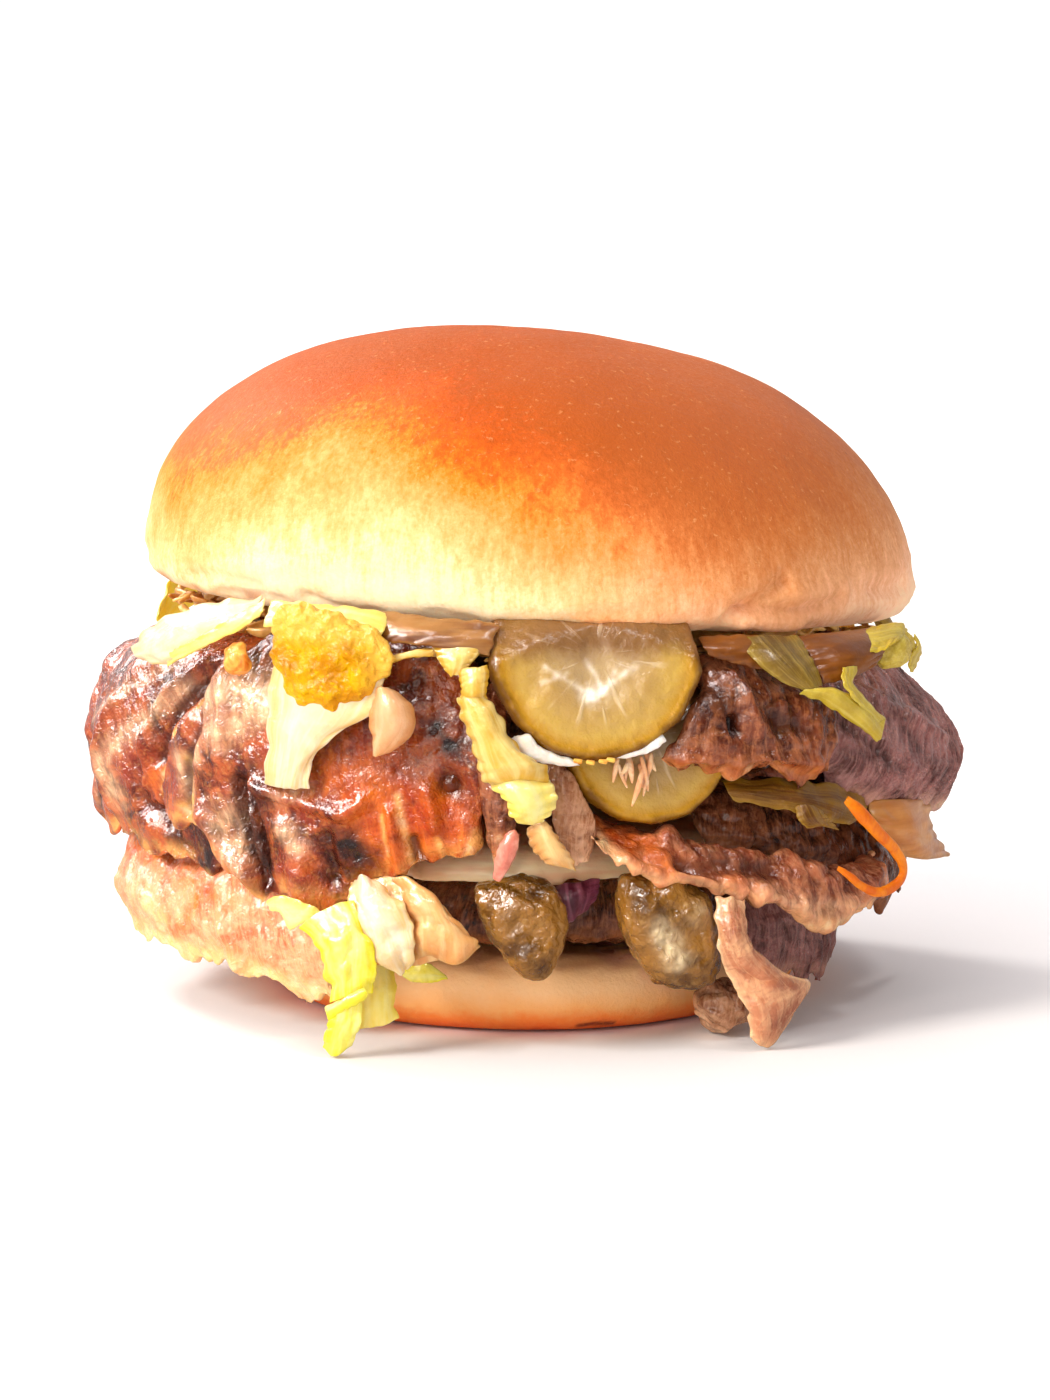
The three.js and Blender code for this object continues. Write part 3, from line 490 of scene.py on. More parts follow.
def meat_finish(
    name, deep, body, light, fat, *, wet=0.9, gloss=0.1, width=1.0, length=9.0, film=1.2, mottle=6.0,
    dull=0.17,
    amber=((170, 54, 4), (232, 118, 32)), relief=0.34, soft=0.12, streak=0.5,
):
    """Roast meat: mottled, stranded, with painted shade in its hollows, pale streaks under a painted sheen,
    a fatty hem, caramel, char and a film of juice.
    """
    material, tree, shader = fresh(
        name, Subsurface_Weight=soft, Subsurface_Radius=(1.0, 0.35, 0.2), Subsurface_Scale=0.002,
        Coat_Roughness=gloss, Coat_IOR=1.6, Specular_IOR_Level=0.5,
    )
    place_mm = own_place(tree)
    flow = noted(tree, "flow", "Vector")
    strands = grouped(tree, FIBRES, Place=flow, Width=width, Length=length)
    patches = grouped(tree, BLOTCHES, Place=place_mm, Size=mottle, Share=0.5, Soft=0.14)["Mask"]
    small = grouped(tree, BLOTCHES, Place=flow, Size=mottle / 3, Share=0.45, Soft=0.1)["Mask"]
    specks = grouped(tree, BLOTCHES, Place=place_mm, Size=0.9, Share=0.4, Soft=0.08)["Mask"]
    flesh = blend(tree, patches, deep, body)
    flesh = blend(tree, times(tree, small, 0.55), flesh, light)
    flesh = blend(tree, times(tree, strands["Light"], streak), flesh, light)
    flesh = blend(tree, times(tree, specks, 0.18), flesh, fat)
    warmth = plus(tree, times(tree, strands["Light"], 0.35), times(tree, patches, 0.6))
    rich = blend(tree, warmth, tone(*amber[0]), tone(*amber[1]))
    flesh = blend(tree, noted(tree, "amber"), flesh, rich)
    # Painted highlight: the "pale" strokes lighten the flesh along its strands, partly pale meat and partly
    # a painted sheen.
    sheen = times(tree, noted(tree, "pale"), plus(tree, 0.5, times(tree, strands["Light"], 0.5)))
    flesh = blend(tree, sheen, flesh, tone(250, 204, 158))
    flesh = blend(tree, times(tree, noted(tree, "rim"), 0.8), flesh, blend(tree, small, fat, light))
    flesh = blend(tree, noted(tree, "fat"), flesh, blend(tree, small, fat, tone(250, 222, 166)))
    # Painted shade: the flesh darkens towards black in the hollows of its relief.
    flesh = blend(
        tree, times(tree, noted(tree, "hollow"), 0.75), flesh, blend(tree, 0.45, deep, (0, 0, 0, 1)),
    )
    flesh = blend(tree, noted(tree, "char"), flesh, tone(30, 8, 8))
    tree.links.new(flesh, shader.inputs["Base Color"])
    tree.links.new(level(tree, small, 0.0, 1.0, dull + 0.1, dull), shader.inputs["Roughness"])
    tree.links.new(level(tree, patches, 0.0, 1.0, wet * 0.2, wet * 0.5), shader.inputs["Coat Weight"])
    wet_film = grouped(tree, WET, Place=place_mm, Size=film)["Height"]
    bumped(tree, shader, plus(tree, times(tree, strands["Height"], 0.8), wet_film), relief)
    return material


def leaf_finish(
    name, heart, blade, margin, vein, *, veins=2.0, clear=0.4, gloss=0.14, vein_share=0.5, wet=0.5,
):
    """Wet leaf: pale heart, coloured margin, fine veins along it, painted shade where it sinks back, light
    coming through.
    """
    material, tree, shader = fresh(
        name, Subsurface_Weight=clear, Subsurface_Radius=(1.0, 0.85, 0.4), Subsurface_Scale=0.002,
        Coat_Weight=wet, Coat_Roughness=gloss, Roughness=0.4,
    )
    place_mm = own_place(tree)
    flow = noted(tree, "flow", "Vector")
    share = put(tree, "SeparateXYZ", {0: noted(tree, "share", "Vector")}).outputs
    lines = grouped(tree, FIBRES, Place=flow, Width=veins, Length=26.0)
    cloud = grouped(tree, BLOTCHES, Place=place_mm, Size=5.0, Share=0.5, Soft=0.16)["Mask"]
    colour = blend(tree, cloud, heart, blade)
    side = level(tree, put(tree, "Math", {0: share[0]}, operation="ABSOLUTE").outputs[0], 0.3, 1.0)
    end = level(tree, share[1], 0.6, 1.0, 0.0, 0.7)
    colour = blend(tree, sums(tree, "MAXIMUM", side, end), colour, margin)
    colour = blend(tree, times(tree, lines["Light"], vein_share), colour, vein)
    # Painted shade: the leaf darkens towards a dark margin tone where its frills and crumples push it back.
    shade = blend(tree, 0.35, margin, (0, 0, 0, 1))
    colour = blend(tree, level(tree, share[2], -0.1, -0.7, 0.0, 0.45), colour, shade)
    tree.links.new(colour, shader.inputs["Base Color"])
    relief = plus(tree, lines["Height"], times(tree, noise(tree, place_mm, 1.2, 3.0), 0.8))
    bumped(tree, shader, relief, 0.3)
    return material


def onion_finish(name, pale, deep, tint, *, clear=0.5):
    """Soft onion: smooth, translucent, faintly lined."""
    material, tree, shader = fresh(
        name, Subsurface_Weight=clear, Subsurface_Radius=(1.0, 0.7, 0.4), Subsurface_Scale=0.003,
        Coat_Weight=0.3, Coat_Roughness=0.14, Roughness=0.35,
    )
    place_mm = own_place(tree)
    bands = put(tree, "Mapping", {"Vector": place_mm, "Scale": (0.12, 0.12, 1.0)}).outputs[0]
    line = noise(tree, bands, 1.5, 3.0)
    colour = blend(tree, level(tree, line, 0.35, 0.65), deep, pale)
    patch = grouped(tree, BLOTCHES, Place=place_mm, Size=10.0, Share=0.45, Soft=0.2)["Mask"]
    colour = blend(tree, times(tree, patch, 0.6), colour, tint)
    tree.links.new(colour, shader.inputs["Base Color"])
    bumped(tree, shader, plus(tree, line, noise(tree, place_mm, 2.4)), 0.2)
    return material


def pickle_finish():
    """A slice of pickle: dark skin, clear gold flesh, a paler core with seed streaks, painted shade over
    its top.
    """
    material, tree, shader = fresh(
        "pickle_slice", Subsurface_Weight=0.6, Subsurface_Radius=(1.0, 0.8, 0.3), Subsurface_Scale=0.003,
        Coat_Weight=0.15, Coat_Roughness=0.06, Roughness=0.24,
    )
    place_mm = own_place(tree)
    share = put(tree, "SeparateXYZ", {0: noted(tree, "share", "Vector")}).outputs
    out = plus(tree, share[2], swing(tree, noise(tree, place_mm, 3.5), 0.5, 0.12))
    colour = ramp(tree, out, [
        (0.0, tone(190, 162, 118)), (0.34, tone(186, 156, 108)), (0.55, tone(186, 152, 88)),
        (0.76, tone(200, 164, 78)),
        (0.88, tone(190, 142, 34)), (0.935, tone(118, 76, 2)), (1.0, tone(84, 52, 2)),
    ])
    lit = grouped(tree, BLOTCHES, Place=place_mm, Size=5.0, Share=0.4, Soft=0.2)["Mask"]
    inside = level(tree, out, 0.8, 0.9, 1.0, 0.0)
    colour = blend(tree, times(tree, times(tree, lit, inside), 0.3), colour, tone(176, 132, 66))
    # Painted shade: the upper part of the slice, under the crown's lip, darkens.
    shaded = level(
        tree, plus(tree, share[1], swing(tree, noise(tree, place_mm, 4.0), 0.5, 0.3)), -0.14, 0.14,
    )
    colour = blend(tree, times(tree, shaded, 0.85), colour, tone(128, 84, 44))
    turned = put(tree, "CombineXYZ", {0: share[0], 1: share[1], 2: 0.0}).outputs[0]
    rays = put(tree, "TexGradient", {0: turned}, gradient_type="RADIAL").outputs[0]
    ray_place = put(tree, "CombineXYZ", {0: times(tree, rays, 26.0), 1: share[2], 2: 0.0}).outputs[0]
    seeds = level(tree, noise(tree, ray_place, 1.0, 2.0), 0.56, 0.66)
    ring = times(tree, level(tree, out, 0.12, 0.3), level(tree, out, 0.55, 0.72, 1.0, 0.0))
    streaks = times(tree, seeds, ring)
    colour = blend(tree, times(tree, streaks, 0.3), colour, tone(250, 232, 200))
    colour = blend(tree, noted(tree, "pulp"), colour, tone(255, 244, 226))
    tree.links.new(colour, shader.inputs["Base Color"])
    bumped(tree, shader, plus(tree, noise(tree, place_mm, 1.4, 4.0), times(tree, streaks, 0.3)), 0.35)
    return material


def chunk_finish():
    """A wet lump of pickle: olive skin, paler worn patches, specks of light."""
    material, tree, shader = fresh(
        "pickle_lump", Subsurface_Weight=0.3, Subsurface_Radius=(1.0, 0.8, 0.3), Subsurface_Scale=0.002,
        Coat_Weight=0.6, Coat_Roughness=0.06, Coat_IOR=1.6, Roughness=0.16,
    )
    place_mm = own_place(tree)
    patch = grouped(tree, BLOTCHES, Place=place_mm, Size=6.0, Share=0.5, Soft=0.12)["Mask"]
    colour = blend(tree, patch, tone(90, 54, 8), tone(150, 102, 38))
    small = grouped(tree, BLOTCHES, Place=place_mm, Size=1.8, Share=0.35, Soft=0.1)["Mask"]
    colour = blend(tree, times(tree, small, 0.4), colour, tone(186, 144, 82))
    colour = blend(tree, noted(tree, "pulp"), colour, tone(240, 216, 172))
    tree.links.new(colour, shader.inputs["Base Color"])
    bumped(tree, shader, grouped(tree, WET, Place=place_mm, Size=1.2)["Height"], 0.5)
    return material


def relish_finish():
    """Grainy yellow relish, clear and wet, creamy where it thins out."""
    material, tree, shader = fresh(
        "relish_mash", Specular_IOR_Level=0.25, Subsurface_Weight=0.05, Subsurface_Radius=(1.0, 0.8, 0.02),
        Subsurface_Scale=0.003,
        Roughness=0.12,
    )
    place_mm = own_place(tree)
    patch = grouped(tree, BLOTCHES, Place=place_mm, Size=4.0, Share=0.5, Soft=0.15)["Mask"]
    colour = blend(tree, patch, tone(196, 126, 0), tone(224, 170, 0))
    grain = noise(tree, place_mm, 0.8, 3.0, 0.6)
    colour = blend(tree, level(tree, grain, 0.56, 0.7, 0.0, 0.5), colour, tone(252, 206, 12))
    colour = blend(tree, noted(tree, "cream"), colour, tone(238, 184, 70))
    tree.links.new(colour, shader.inputs["Base Color"])
    film = grouped(tree, WET, Place=place_mm, Size=1.8)["Height"]
    bumped(tree, shader, plus(tree, times(tree, grain, 0.8), film), 0.6)
    return material


def plain_food(name, dark, light, *, size=2.0, clear=0.3, coat=0.3, gloss=0.14):
    """A small soft piece: two tones in patches, wet."""
    material, tree, shader = fresh(
        name, Subsurface_Weight=clear, Subsurface_Radius=(1.0, 0.6, 0.3), Subsurface_Scale=0.002,
        Coat_Weight=coat, Coat_Roughness=gloss, Roughness=0.4, Specular_IOR_Level=0.3,
    )
    place_mm = own_place(tree)
    patch = grouped(tree, BLOTCHES, Place=place_mm, Size=size, Share=0.5, Soft=0.15)["Mask"]
    tree.links.new(blend(tree, patch, dark, light), shader.inputs["Base Color"])
    bumped(tree, shader, noise(tree, place_mm, size / 2), 0.25)
    return material


CRUST = crust_finish()
HEEL = heel_finish()
GLAZED = meat_finish(
    "glazed_roast", tone(62, 12, 5), tone(140, 44, 16), tone(208, 104, 50), tone(246, 180, 96),
    wet=1.0, gloss=0.05, width=1.9, length=10, film=1.0, dull=0.1, mottle=8.0, relief=0.42, streak=0.25,
)
BROWN = meat_finish(
    "brown_roast", tone(72, 24, 6), tone(125, 59, 31), tone(178, 108, 70), tone(226, 144, 82),
)
GRAIN = meat_finish(
    "seared_grain", tone(84, 40, 34), tone(148, 90, 84), tone(186, 132, 124), tone(222, 164, 140),
    wet=0.5, gloss=0.12, width=0.7, length=12, film=0.8, dull=0.24,
)
ORANGE = meat_finish(
    "oily_roast", tone(104, 40, 20), tone(178, 92, 56), tone(222, 146, 104), tone(248, 182, 124), width=1.4,
)
DARK = meat_finish(
    "dark_roast", tone(40, 8, 4), tone(98, 46, 22), tone(152, 92, 58), tone(176, 108, 60), wet=0.8,
)
TAN = meat_finish(
    "tan_roast", tone(104, 50, 26), tone(172, 112, 74), tone(216, 164, 124), tone(238, 190, 150),
)
STRAND = meat_finish(
    "pale_strand", tone(150, 80, 56), tone(204, 128, 88), tone(244, 186, 136), tone(250, 206, 156),
    mottle=9.0,
)
PALE = meat_finish(
    "pale_roast", tone(216, 106, 60), tone(240, 164, 116), tone(250, 200, 152), tone(250, 206, 134),
    wet=0.6, gloss=0.12, width=0.7, length=16, film=1.0, dull=0.24, amber=((196, 74, 18), (240, 140, 50)),
    soft=0.3,
)
LETTUCE = leaf_finish(
    "lettuce_pale", tone(240, 206, 118), tone(222, 170, 54), tone(204, 148, 20), tone(250, 230, 160),
)
YELLOW = leaf_finish(
    "lettuce_bright", tone(254, 246, 126), tone(250, 236, 46), tone(238, 222, 4), tone(255, 250, 176),
)
GREEN = leaf_finish(
    "lettuce_green", tone(128, 98, 26), tone(96, 68, 12), tone(142, 112, 20), tone(182, 154, 70), veins=0.8,
    wet=0.3,
)
FRESH_GREEN = leaf_finish(
    "lettuce_fresh", tone(208, 182, 62), tone(178, 150, 34), tone(192, 160, 20), tone(224, 206, 104),
    veins=0.8, wet=0.3,
)
CABBAGE = leaf_finish(
    "cabbage_white", tone(252, 224, 190), tone(245, 208, 160), tone(234, 190, 112), tone(254, 238, 214),
    clear=0.5,
)
CREAM = leaf_finish(
    "cabbage_cream", tone(242, 190, 124), tone(228, 160, 90), tone(214, 140, 70), tone(248, 212, 156),
    clear=0.5,
)
CURL = leaf_finish(
    "cabbage_pinkish", tone(234, 184, 136), tone(224, 168, 118), tone(206, 138, 78), tone(242, 202, 158),
    clear=0.5,
)
GOLD = leaf_finish(
    "cabbage_gold", tone(255, 236, 150), tone(255, 226, 110), tone(252, 212, 80), tone(255, 246, 200),
    clear=0.5, vein_share=0.25,
)
PURPLE = leaf_finish(
    "cabbage_purple", tone(76, 14, 36), tone(46, 4, 20), tone(118, 48, 74), tone(168, 98, 118), clear=0.1,
    gloss=0.08, wet=0.3,
)
ONION = onion_finish("onion_soft", tone(255, 226, 182), tone(248, 198, 152), tone(252, 204, 160))
BROWN_ONION = onion_finish("onion_brown", tone(176, 124, 64), tone(112, 60, 18), tone(98, 52, 14))
DARK_AMBER = onion_finish("onion_amber", tone(140, 80, 14), tone(104, 52, 4), tone(122, 66, 8), clear=0.2)
# A darker copy of the green lettuce, as painted shade for the leaf lying under the slices.
SHADED = leaf_finish(
    "lettuce_shaded", tone(112, 66, 4), tone(86, 46, 0), tone(146, 104, 12), tone(168, 128, 40), veins=0.8,
    wet=0.25,
)
YELLOW_ONION = onion_finish("onion_yellow", tone(212, 146, 80), tone(186, 116, 56), tone(176, 104, 44))
PICKLE = pickle_finish()
CHUNK = chunk_finish()
RELISH = relish_finish()
CRISP = plain_food("golden_crisp", tone(216, 112, 20), tone(252, 190, 84))
CARROT = plain_food(
    "carrot_wet", tone(224, 102, 0), tone(246, 138, 2), size=3.0, gloss=0.1, clear=0.1, coat=0.05,
)
SAUCE = plain_food("white_sauce", tone(246, 228, 210), tone(255, 246, 236), size=2.0, gloss=0.12)
SHRED = plain_food("cabbage_shred", tone(176, 118, 44), tone(226, 176, 96), size=5.0)
THREAD = plain_food("meat_thread", tone(240, 166, 116), tone(255, 212, 166), size=2.0)
TONGUE = plain_food("pink_tip", tone(214, 116, 96), tone(244, 168, 148), size=3.0, coat=0.9)


# ---- Bread ----
def upright(at):
    """Points in the crown's own frame, its cut face level at zero."""
    x, y, z = at[:, 0], at[:, 1], at[:, 2] - CROWN_SEAT
    turn, lift = math.cos(CROWN_ROLL), math.sin(CROWN_ROLL)
    return np.stack([x * turn - z * lift, y, x * lift + z * turn], 1)


CROWN_CREASES = [
    ([[28, 59.6], [30, 61.2], [32.5, 62.2], [35, 63.2], [38, 64.8]], 1.5, -1.3),
    ([[29, 61.0], [33, 61.4], [38, 60.4], [44, 60.6], [50, 61.6]], 1.3, -1.0),
    ([[31, 59.2], [36, 59.0], [42, 58.4]], 1.6, 0.8), ([[40, 62.6], [46, 62.2], [52, 62.4]], 2.2, 0.7),
    ([[-52, 61.5], [-44, 62.2], [-38, 61.0]], 1.8, -1.0),
    ([[-60, 63.5], [-50, 64.4], [-42, 63.4]], 1.4, -0.8),
    ([[-34, 62.5], [-28, 61.0], [-22, 60.6]], 1.6, -0.9), ([[-38, 60], [-31, 59.2], [-24, 58.9]], 1.4, 0.6),
    ([[-14, 61], [-8, 60]], 1.4, -0.5), ([[60, 62], [66, 61], [74, 61.4]], 2.0, -0.9),
    ([[120, 61], [128, 62.4], [137, 61.6]], 1.8, -1.0), ([[-120, 62], [-131, 63], [-140, 62]], 2.0, -1.0),
    ([[170, 62], [178, 61.2]], 1.8, -0.8),
]
# How far up the crown, as a share of its height, the pale foot turns gold at each bearing. It reaches
# highest on the lit front left, partly the bake's own and partly painted light.
PALE_UP_TO = [
    (-180, 0.35), (-140, 0.42), (-100, 0.38), (-67, 0.34), (-50, 0.43), (-37, 0.55), (-20, 0.56), (0, 0.38),
    (17, 0.22), (33, 0.1), (50, 0.16), (70, 0.25), (100, 0.3), (140, 0.25), (180, 0.35),
]


def crown():
    piece = copy_of("bun_crown", "crown")
    divided(piece, 2)
    rounded(piece, 0.8, 3, 0)
    at = points(piece)
    own = upright(at)
    share = np.clip(own[:, 2] / CROWN_HEIGHT, 0, 1)
    foot = 1 - between(own[:, 2], 3, 14)
    side = between(own[:, 2], -0.6, 1.2)
    amount = 0.45 * lumps(at, 26, 1) + 0.2 * lumps(at, 10, 2) + 0.07 * lumps(at, 3.5, 3)
    amount += foot * side * (0.4 * lumps(at, (11, 11, 2.4), 4) + 0.22 * lumps(at, (3.6, 3.6, 1.2), 5))
    amount += side * strokes(at, CROWN_CREASES)
    swell(piece, amount)
    bearing, radius, height = around(at)
    low = np.interp(bearing, *zip(*PALE_UP_TO))
    note(piece, "bake", np.clip(0.5 + share - low, 0, 1))
    # Share of the crust, growing to the right, that takes the peach ramp: partly the bake's own tone,
    # partly painted shade.
    note(piece, "peach", between(at[:, 0], -10, 45))
    note(piece, "flow", np.stack([np.radians(bearing) * RIM, height, radius], 1))
    note(piece, "crumb", (1 - side) * (1 - between(radius, 51, 55)))
    lip = np.exp(-((own[:, 2] - 0.4) / 0.8) ** 2) * between(radius, 52, 55)
    note(piece, "burnt", 0.7 * lip * between(lumps(at, (7, 7, 3), 8, 2), 0, 0.5))
    return served(piece, CRUST, "crust", "bun_crown")


def heel():
    piece = copy_of("bun_heel", "heel")
    divided(piece, 2)
    rounded(piece, 0.7, 3, 0)
    at = points(piece)
    height = at[:, 2]
    above = between(height, 0.8, 3)
    amount = above * (0.35 * lumps(at, 16, 11) + 0.2 * lumps(at, 6, 12) + 0.08 * lumps(at, 2.2, 13))
    amount += between(height, 8, 10.4) * 0.5 * lumps(at, (5, 5, 3), 14)
    swell(piece, amount)
    note(piece, "bake", np.clip((height + 1.5) / 8.4, 0, 1))
    stain = strokes(at, [
        ([[16.6, 12.5], [22.6, 10.7], [29.8, 8.6]], 4.4, 1.0),
        ([[-11.3, 11.7], [-1.6, 12.5], [9.5, 13.2], [16.6, 12.9]], 1.6, 0.8),
    ])
    note(piece, "juice", np.clip(stain * between(lumps(at, 4, 15, 2), -0.6, 0.3), 0, 1))
    cracks = near(at, [[9, 1.2], [12, 1.5], [16, 1.3]], 0.5) + near(at, [[-150, 1.4], [-140, 1.2]], 0.5)
    note(piece, "burnt", np.clip(cracks, 0, 1))
    return served(piece, HEEL, "heel", "bun_heel")


def tucked(piece, rise=1.7):
    """Lifts the top of a piece by `rise` mm, up under the crown's lip, which hides it."""
    at = points(piece)
    at[:, 2] += rise * between(at[:, 2], *UNDER_LIP)
    place(piece, at)


# ---- Meat ----
def meat(
    node, name, material, slot, seed, *, voxel=0.75, lean=0.0, folds=(), char=(), amber=(), fat=(), pale=(),
    ragged=1.6, coarse=0.7, strand=0.6, width=2.2, length=14.0, rim=2.6, thin=0.6, wrinkle=0.7, reach=None,
):
    """A slice of meat from its CAD node: folded, stranded, wrinkled, its hem torn, with its marks noted."""
    piece = copy_of(node, name)
    rounded(piece, voxel, 5, 1)
    tucked(piece)
    if reach:
        start, end, turn = reach
        bearing, radius, height = around(points(piece))
        place(
            piece,
            polar(bearing + turn * between(bearing, start, end) * between(height, 26, 46), radius, height),
        )
    at = points(piece)
    bearing, radius, height = around(at)
    across = np.radians(bearing) * RIM + lean * (height - MEAT_MIDDLE) + 2.6 * lumps(at, 13, seed)
    flow = np.stack([across, 0.9 * (RIM - radius) - height, 0.6 * radius], 1)
    edge = 1 - between(hem(at), 0.6, rim + 1.6)
    relief = coarse * lumps(at, 9, seed + 1)
    relief += strand * (creases(flow, (2 * width, length, 6), seed + 3) - 0.45)
    relief += wrinkle * (creases(at, (6, 6, 4), seed + 2) - 0.45)
    relief += strokes(at, folds)
    fine = 0.07 * lumps(at, 1.3, seed + 5)
    swell(piece, relief + fine - thin * edge)
    at = points(piece)
    tear = 1.2 * lumps(flow, (6, 30, 30), seed + 4) + 0.6 * lumps(flow, (1.9, 30, 30), seed + 5)
    at[:, 2] += ragged * edge * tear
    place(piece, at)
    note(piece, "flow", flow)
    # Where the relief sinks, noted for the painted shade in the hollows.
    note(piece, "hollow", between(-relief, 0.05, 1.0))
    note(piece, "rim", edge * between(lumps(at, 3.2, seed + 6), -0.5, 0.4))
    broken = 0.75 + 0.6 * lumps(at, 1.8, seed + 7)
    for key, marks in (("char", char), ("amber", amber), ("fat", fat), ("pale", pale)):
        note(piece, key, np.clip(strokes(at, marks) * broken, 0, 1))
    return served(piece, material, slot, node)


def meats():
    meat(
        "meat_glazed", "glazed_slice", GLAZED, "glazed_meat", 20, lean=0.15, voxel=0.7, strand=0.35,
        wrinkle=0.35,
        coarse=1.0, reach=(-24, -9, 4.5),
        folds=[
            ([[-48, 31], [-46, 27], [-40, 23]], 3.0, 1.9),
            ([[-41.5, 36], [-40, 30], [-38.4, 22]], 2.4, -2.4),
            ([[-34.5, 31], [-32.6, 26], [-32.2, 21]], 3.4, 1.9),
            ([[-39, 36.4], [-32, 34.8], [-25, 33.4], [-22.6, 35.6]], 1.8, 1.3),
            ([[-19, 34], [-18.4, 25]], 1.5, 1.3), ([[-13.7, 37], [-13, 32]], 1.4, 1.1),
            ([[-11, 38]], 3.2, -1.6),
            ([[-16, 30], [-15, 26]], 1.6, -1.2), ([[-52, 52], [-50, 44], [-52, 38], [-53, 31]], 2.2, -1.3),
            ([[-46, 52], [-44, 46], [-45, 40]], 2.6, 1.3), ([[-28, 30], [-27.5, 24]], 1.8, -1.0),
        ],
        char=[
            ([[-25.9, 29.4], [-23.9, 27.4]], 3.6, 1.4), ([[-38.8, 38.8], [-36.2, 34.9]], 2.4, 0.8),
            ([[-30.2, 43.7], [-33.3, 37.9]], 2.2, 0.7), ([[-13.2, 45.4], [-9.8, 43.2]], 2.6, 0.8),
            ([[-39.1, 29], [-38.3, 24.6]], 1.8, 0.8), ([[-17.7, 50], [-19, 44.4]], 2.2, 0.5),
            # The last two strokes are wide and faint: they darken the slice's top under the crown's lip.
            ([[-15.7, 52.8], [-11.3, 43.4]], 7, 0.5), ([[-25.8, 43.4], [-16.4, 39.8]], 5, 0.42),
        ],
        amber=[
            ([[-21.7, 36.1], [-21.1, 30.6], [-20.2, 26.2]], 6.5, 1.2),
            ([[-16.5, 36.3], [-15.2, 29.5]], 5.5, 1.2), ([[-11.3, 35.2], [-9.5, 29.8]], 4.5, 1.1),
            ([[-27.9, 39.8], [-25.9, 37.1]], 3.6, 0.6), ([[-12.8, 50.8]], 3, 0.7),
            ([[-46.5, 27.3], [-44.4, 23.8]], 2, 0.9), ([[-25.1, 46.8], [-23.1, 43.5]], 3, 0.4),
            ([[-23, 42.4], [-17, 41.6], [-11, 41]], 5, 0.55),
        ],
        fat=[
            ([[-52.2, 38.4], [-50.5, 33.2], [-53.8, 31.3]], 1.6, 1),
            ([[-18, 36.3], [-17.3, 32.2], [-16.5, 27]], 0.8, 0.9),
            ([[-12.6, 30.3], [-11.7, 26.7]], 0.8, 0.8), ([[-20.1, 33.4], [-19.6, 27.9]], 0.6, 0.8),
            ([[-7.6, 31.5], [-8.6, 28.1]], 1, 0.8),
        ],
        # Pale meat under a painted sheen, on the slice's upper left shoulder and lobes.
        pale=[
            ([[-49.3, 47.5], [-42.4, 49.6], [-36, 50.2]], 4.4, 1.2), ([[-44.3, 43.1], [-38, 46.9]], 3.4, 1),
            ([[-54.1, 38.4], [-51.8, 33]], 2.8, 1), ([[-44.5, 31.1], [-42.7, 25.4]], 4.5, 0.8),
            ([[-34.6, 35], [-31.4, 36.7]], 2, 0.6), ([[-34, 30.6], [-31.8, 28.3]], 2.2, 0.9),
            ([[-47.3, 43.5], [-49.5, 39.7]], 2.6, 0.9),
        ],
    )
    meat(
        "meat_left_fold", "left_slice", GLAZED, "glazed_meat", 30, voxel=0.82, lean=0.5, strand=0.4,
        wrinkle=0.4, coarse=0.9,
        folds=[
            ([[-59, 51], [-64, 46], [-65.6, 40], [-66.6, 33]], 1.8, 1.5),
            ([[-56, 50], [-61, 44], [-63, 37]], 1.6, -1.4),
            ([[-67, 36], [-67, 30], [-62, 28]], 2.2, -1.3), ([[-75, 44], [-78, 36], [-76, 29]], 2.6, 1.4),
            ([[-90, 50], [-88, 38], [-86, 27]], 3.0, 1.4),
            ([[-104, 50], [-101, 36], [-103, 26]], 3.0, -1.4),
        ],
        char=[
            ([[-54.5, 30.9], [-51.7, 27.3], [-55.8, 22.7]], 3.4, 1.4),
            ([[-83.9, 31.8], [-84, 26.2]], 1.6, 0.9), ([[-43.7, 56.4], [-52.2, 48.6]], 1.4, 0.6),
            ([[-84, 34], [-83, 28]], 2.4, 0.5),
        ],
        amber=[
            (
                [[-37.6, 60.2], [-47.9, 55.1], [-54.4, 49.3], [-58.9, 44.4], [-61.6, 38.8], [-64.6, 33.3]],
                2.4, 1.1,
            ),
            ([[-41.8, 60.8], [-45.6, 58.4]], 2.6, 0.7),
            ([[-96, 40]], 5.0, 0.6),
        ],
        fat=[
            ([[-40, 58.4], [-47.9, 54.4], [-55.2, 47.9], [-59.9, 41.2]], 0.9, 1.1),
            ([[-60.6, 37.5], [-62.8, 32.9]], 1.2, 0.8),
        ],
        # Pale meat under a painted sheen, on the fold's outer lobes.
        pale=[
            ([[-60.4, 47.6], [-68.1, 42.3], [-75.9, 35.3], [-73.1, 29.8]], 3, 0.9),
            ([[-84, 36.3], [-84.1, 28]], 2.4, 0.8), ([[-63.6, 52.3], [-73.5, 46], [-84, 40.1]], 2, 0.6),
            ([[-100, 44], [-98, 34]], 3.4, 0.8),
        ],
    )
    meat(
        "meat_pale", "pale_slice", PALE, "pale_meat", 40, lean=0.35, coarse=0.5, strand=0.4, wrinkle=0.4,
        width=1.5, rim=3.4,
        folds=[([[-76, 24], [-66, 22], [-58, 23]], 2.4, -1.0), ([[-52, 20], [-48, 10]], 2.4, 0.9)],
        amber=[
            ([[-84.2, 21.2], [-65.9, 22.4]], 3.4, 1.1), ([[-62.2, 19.8], [-49.8, 18.2]], 3, 0.9),
            ([[-49.7, 25.2], [-45.9, 22.3]], 3, 1), ([[-56.2, 17.2], [-62.4, 11.7]], 2.4, 0.8),
            ([[-42.8, 19.9], [-32.6, 18.3]], 2.2, 0.5),
            ([[-88, 22]], 5.0, 0.6),
        ],
        fat=[
            ([[-84, 10], [-70, 9.4], [-60, 9], [-50, 9], [-40, 7.6], [-30, 6.4]], 2.4, 0.9),
            ([[-70, 15], [-66, 13]], 2.6, 0.8),
        ],
    )
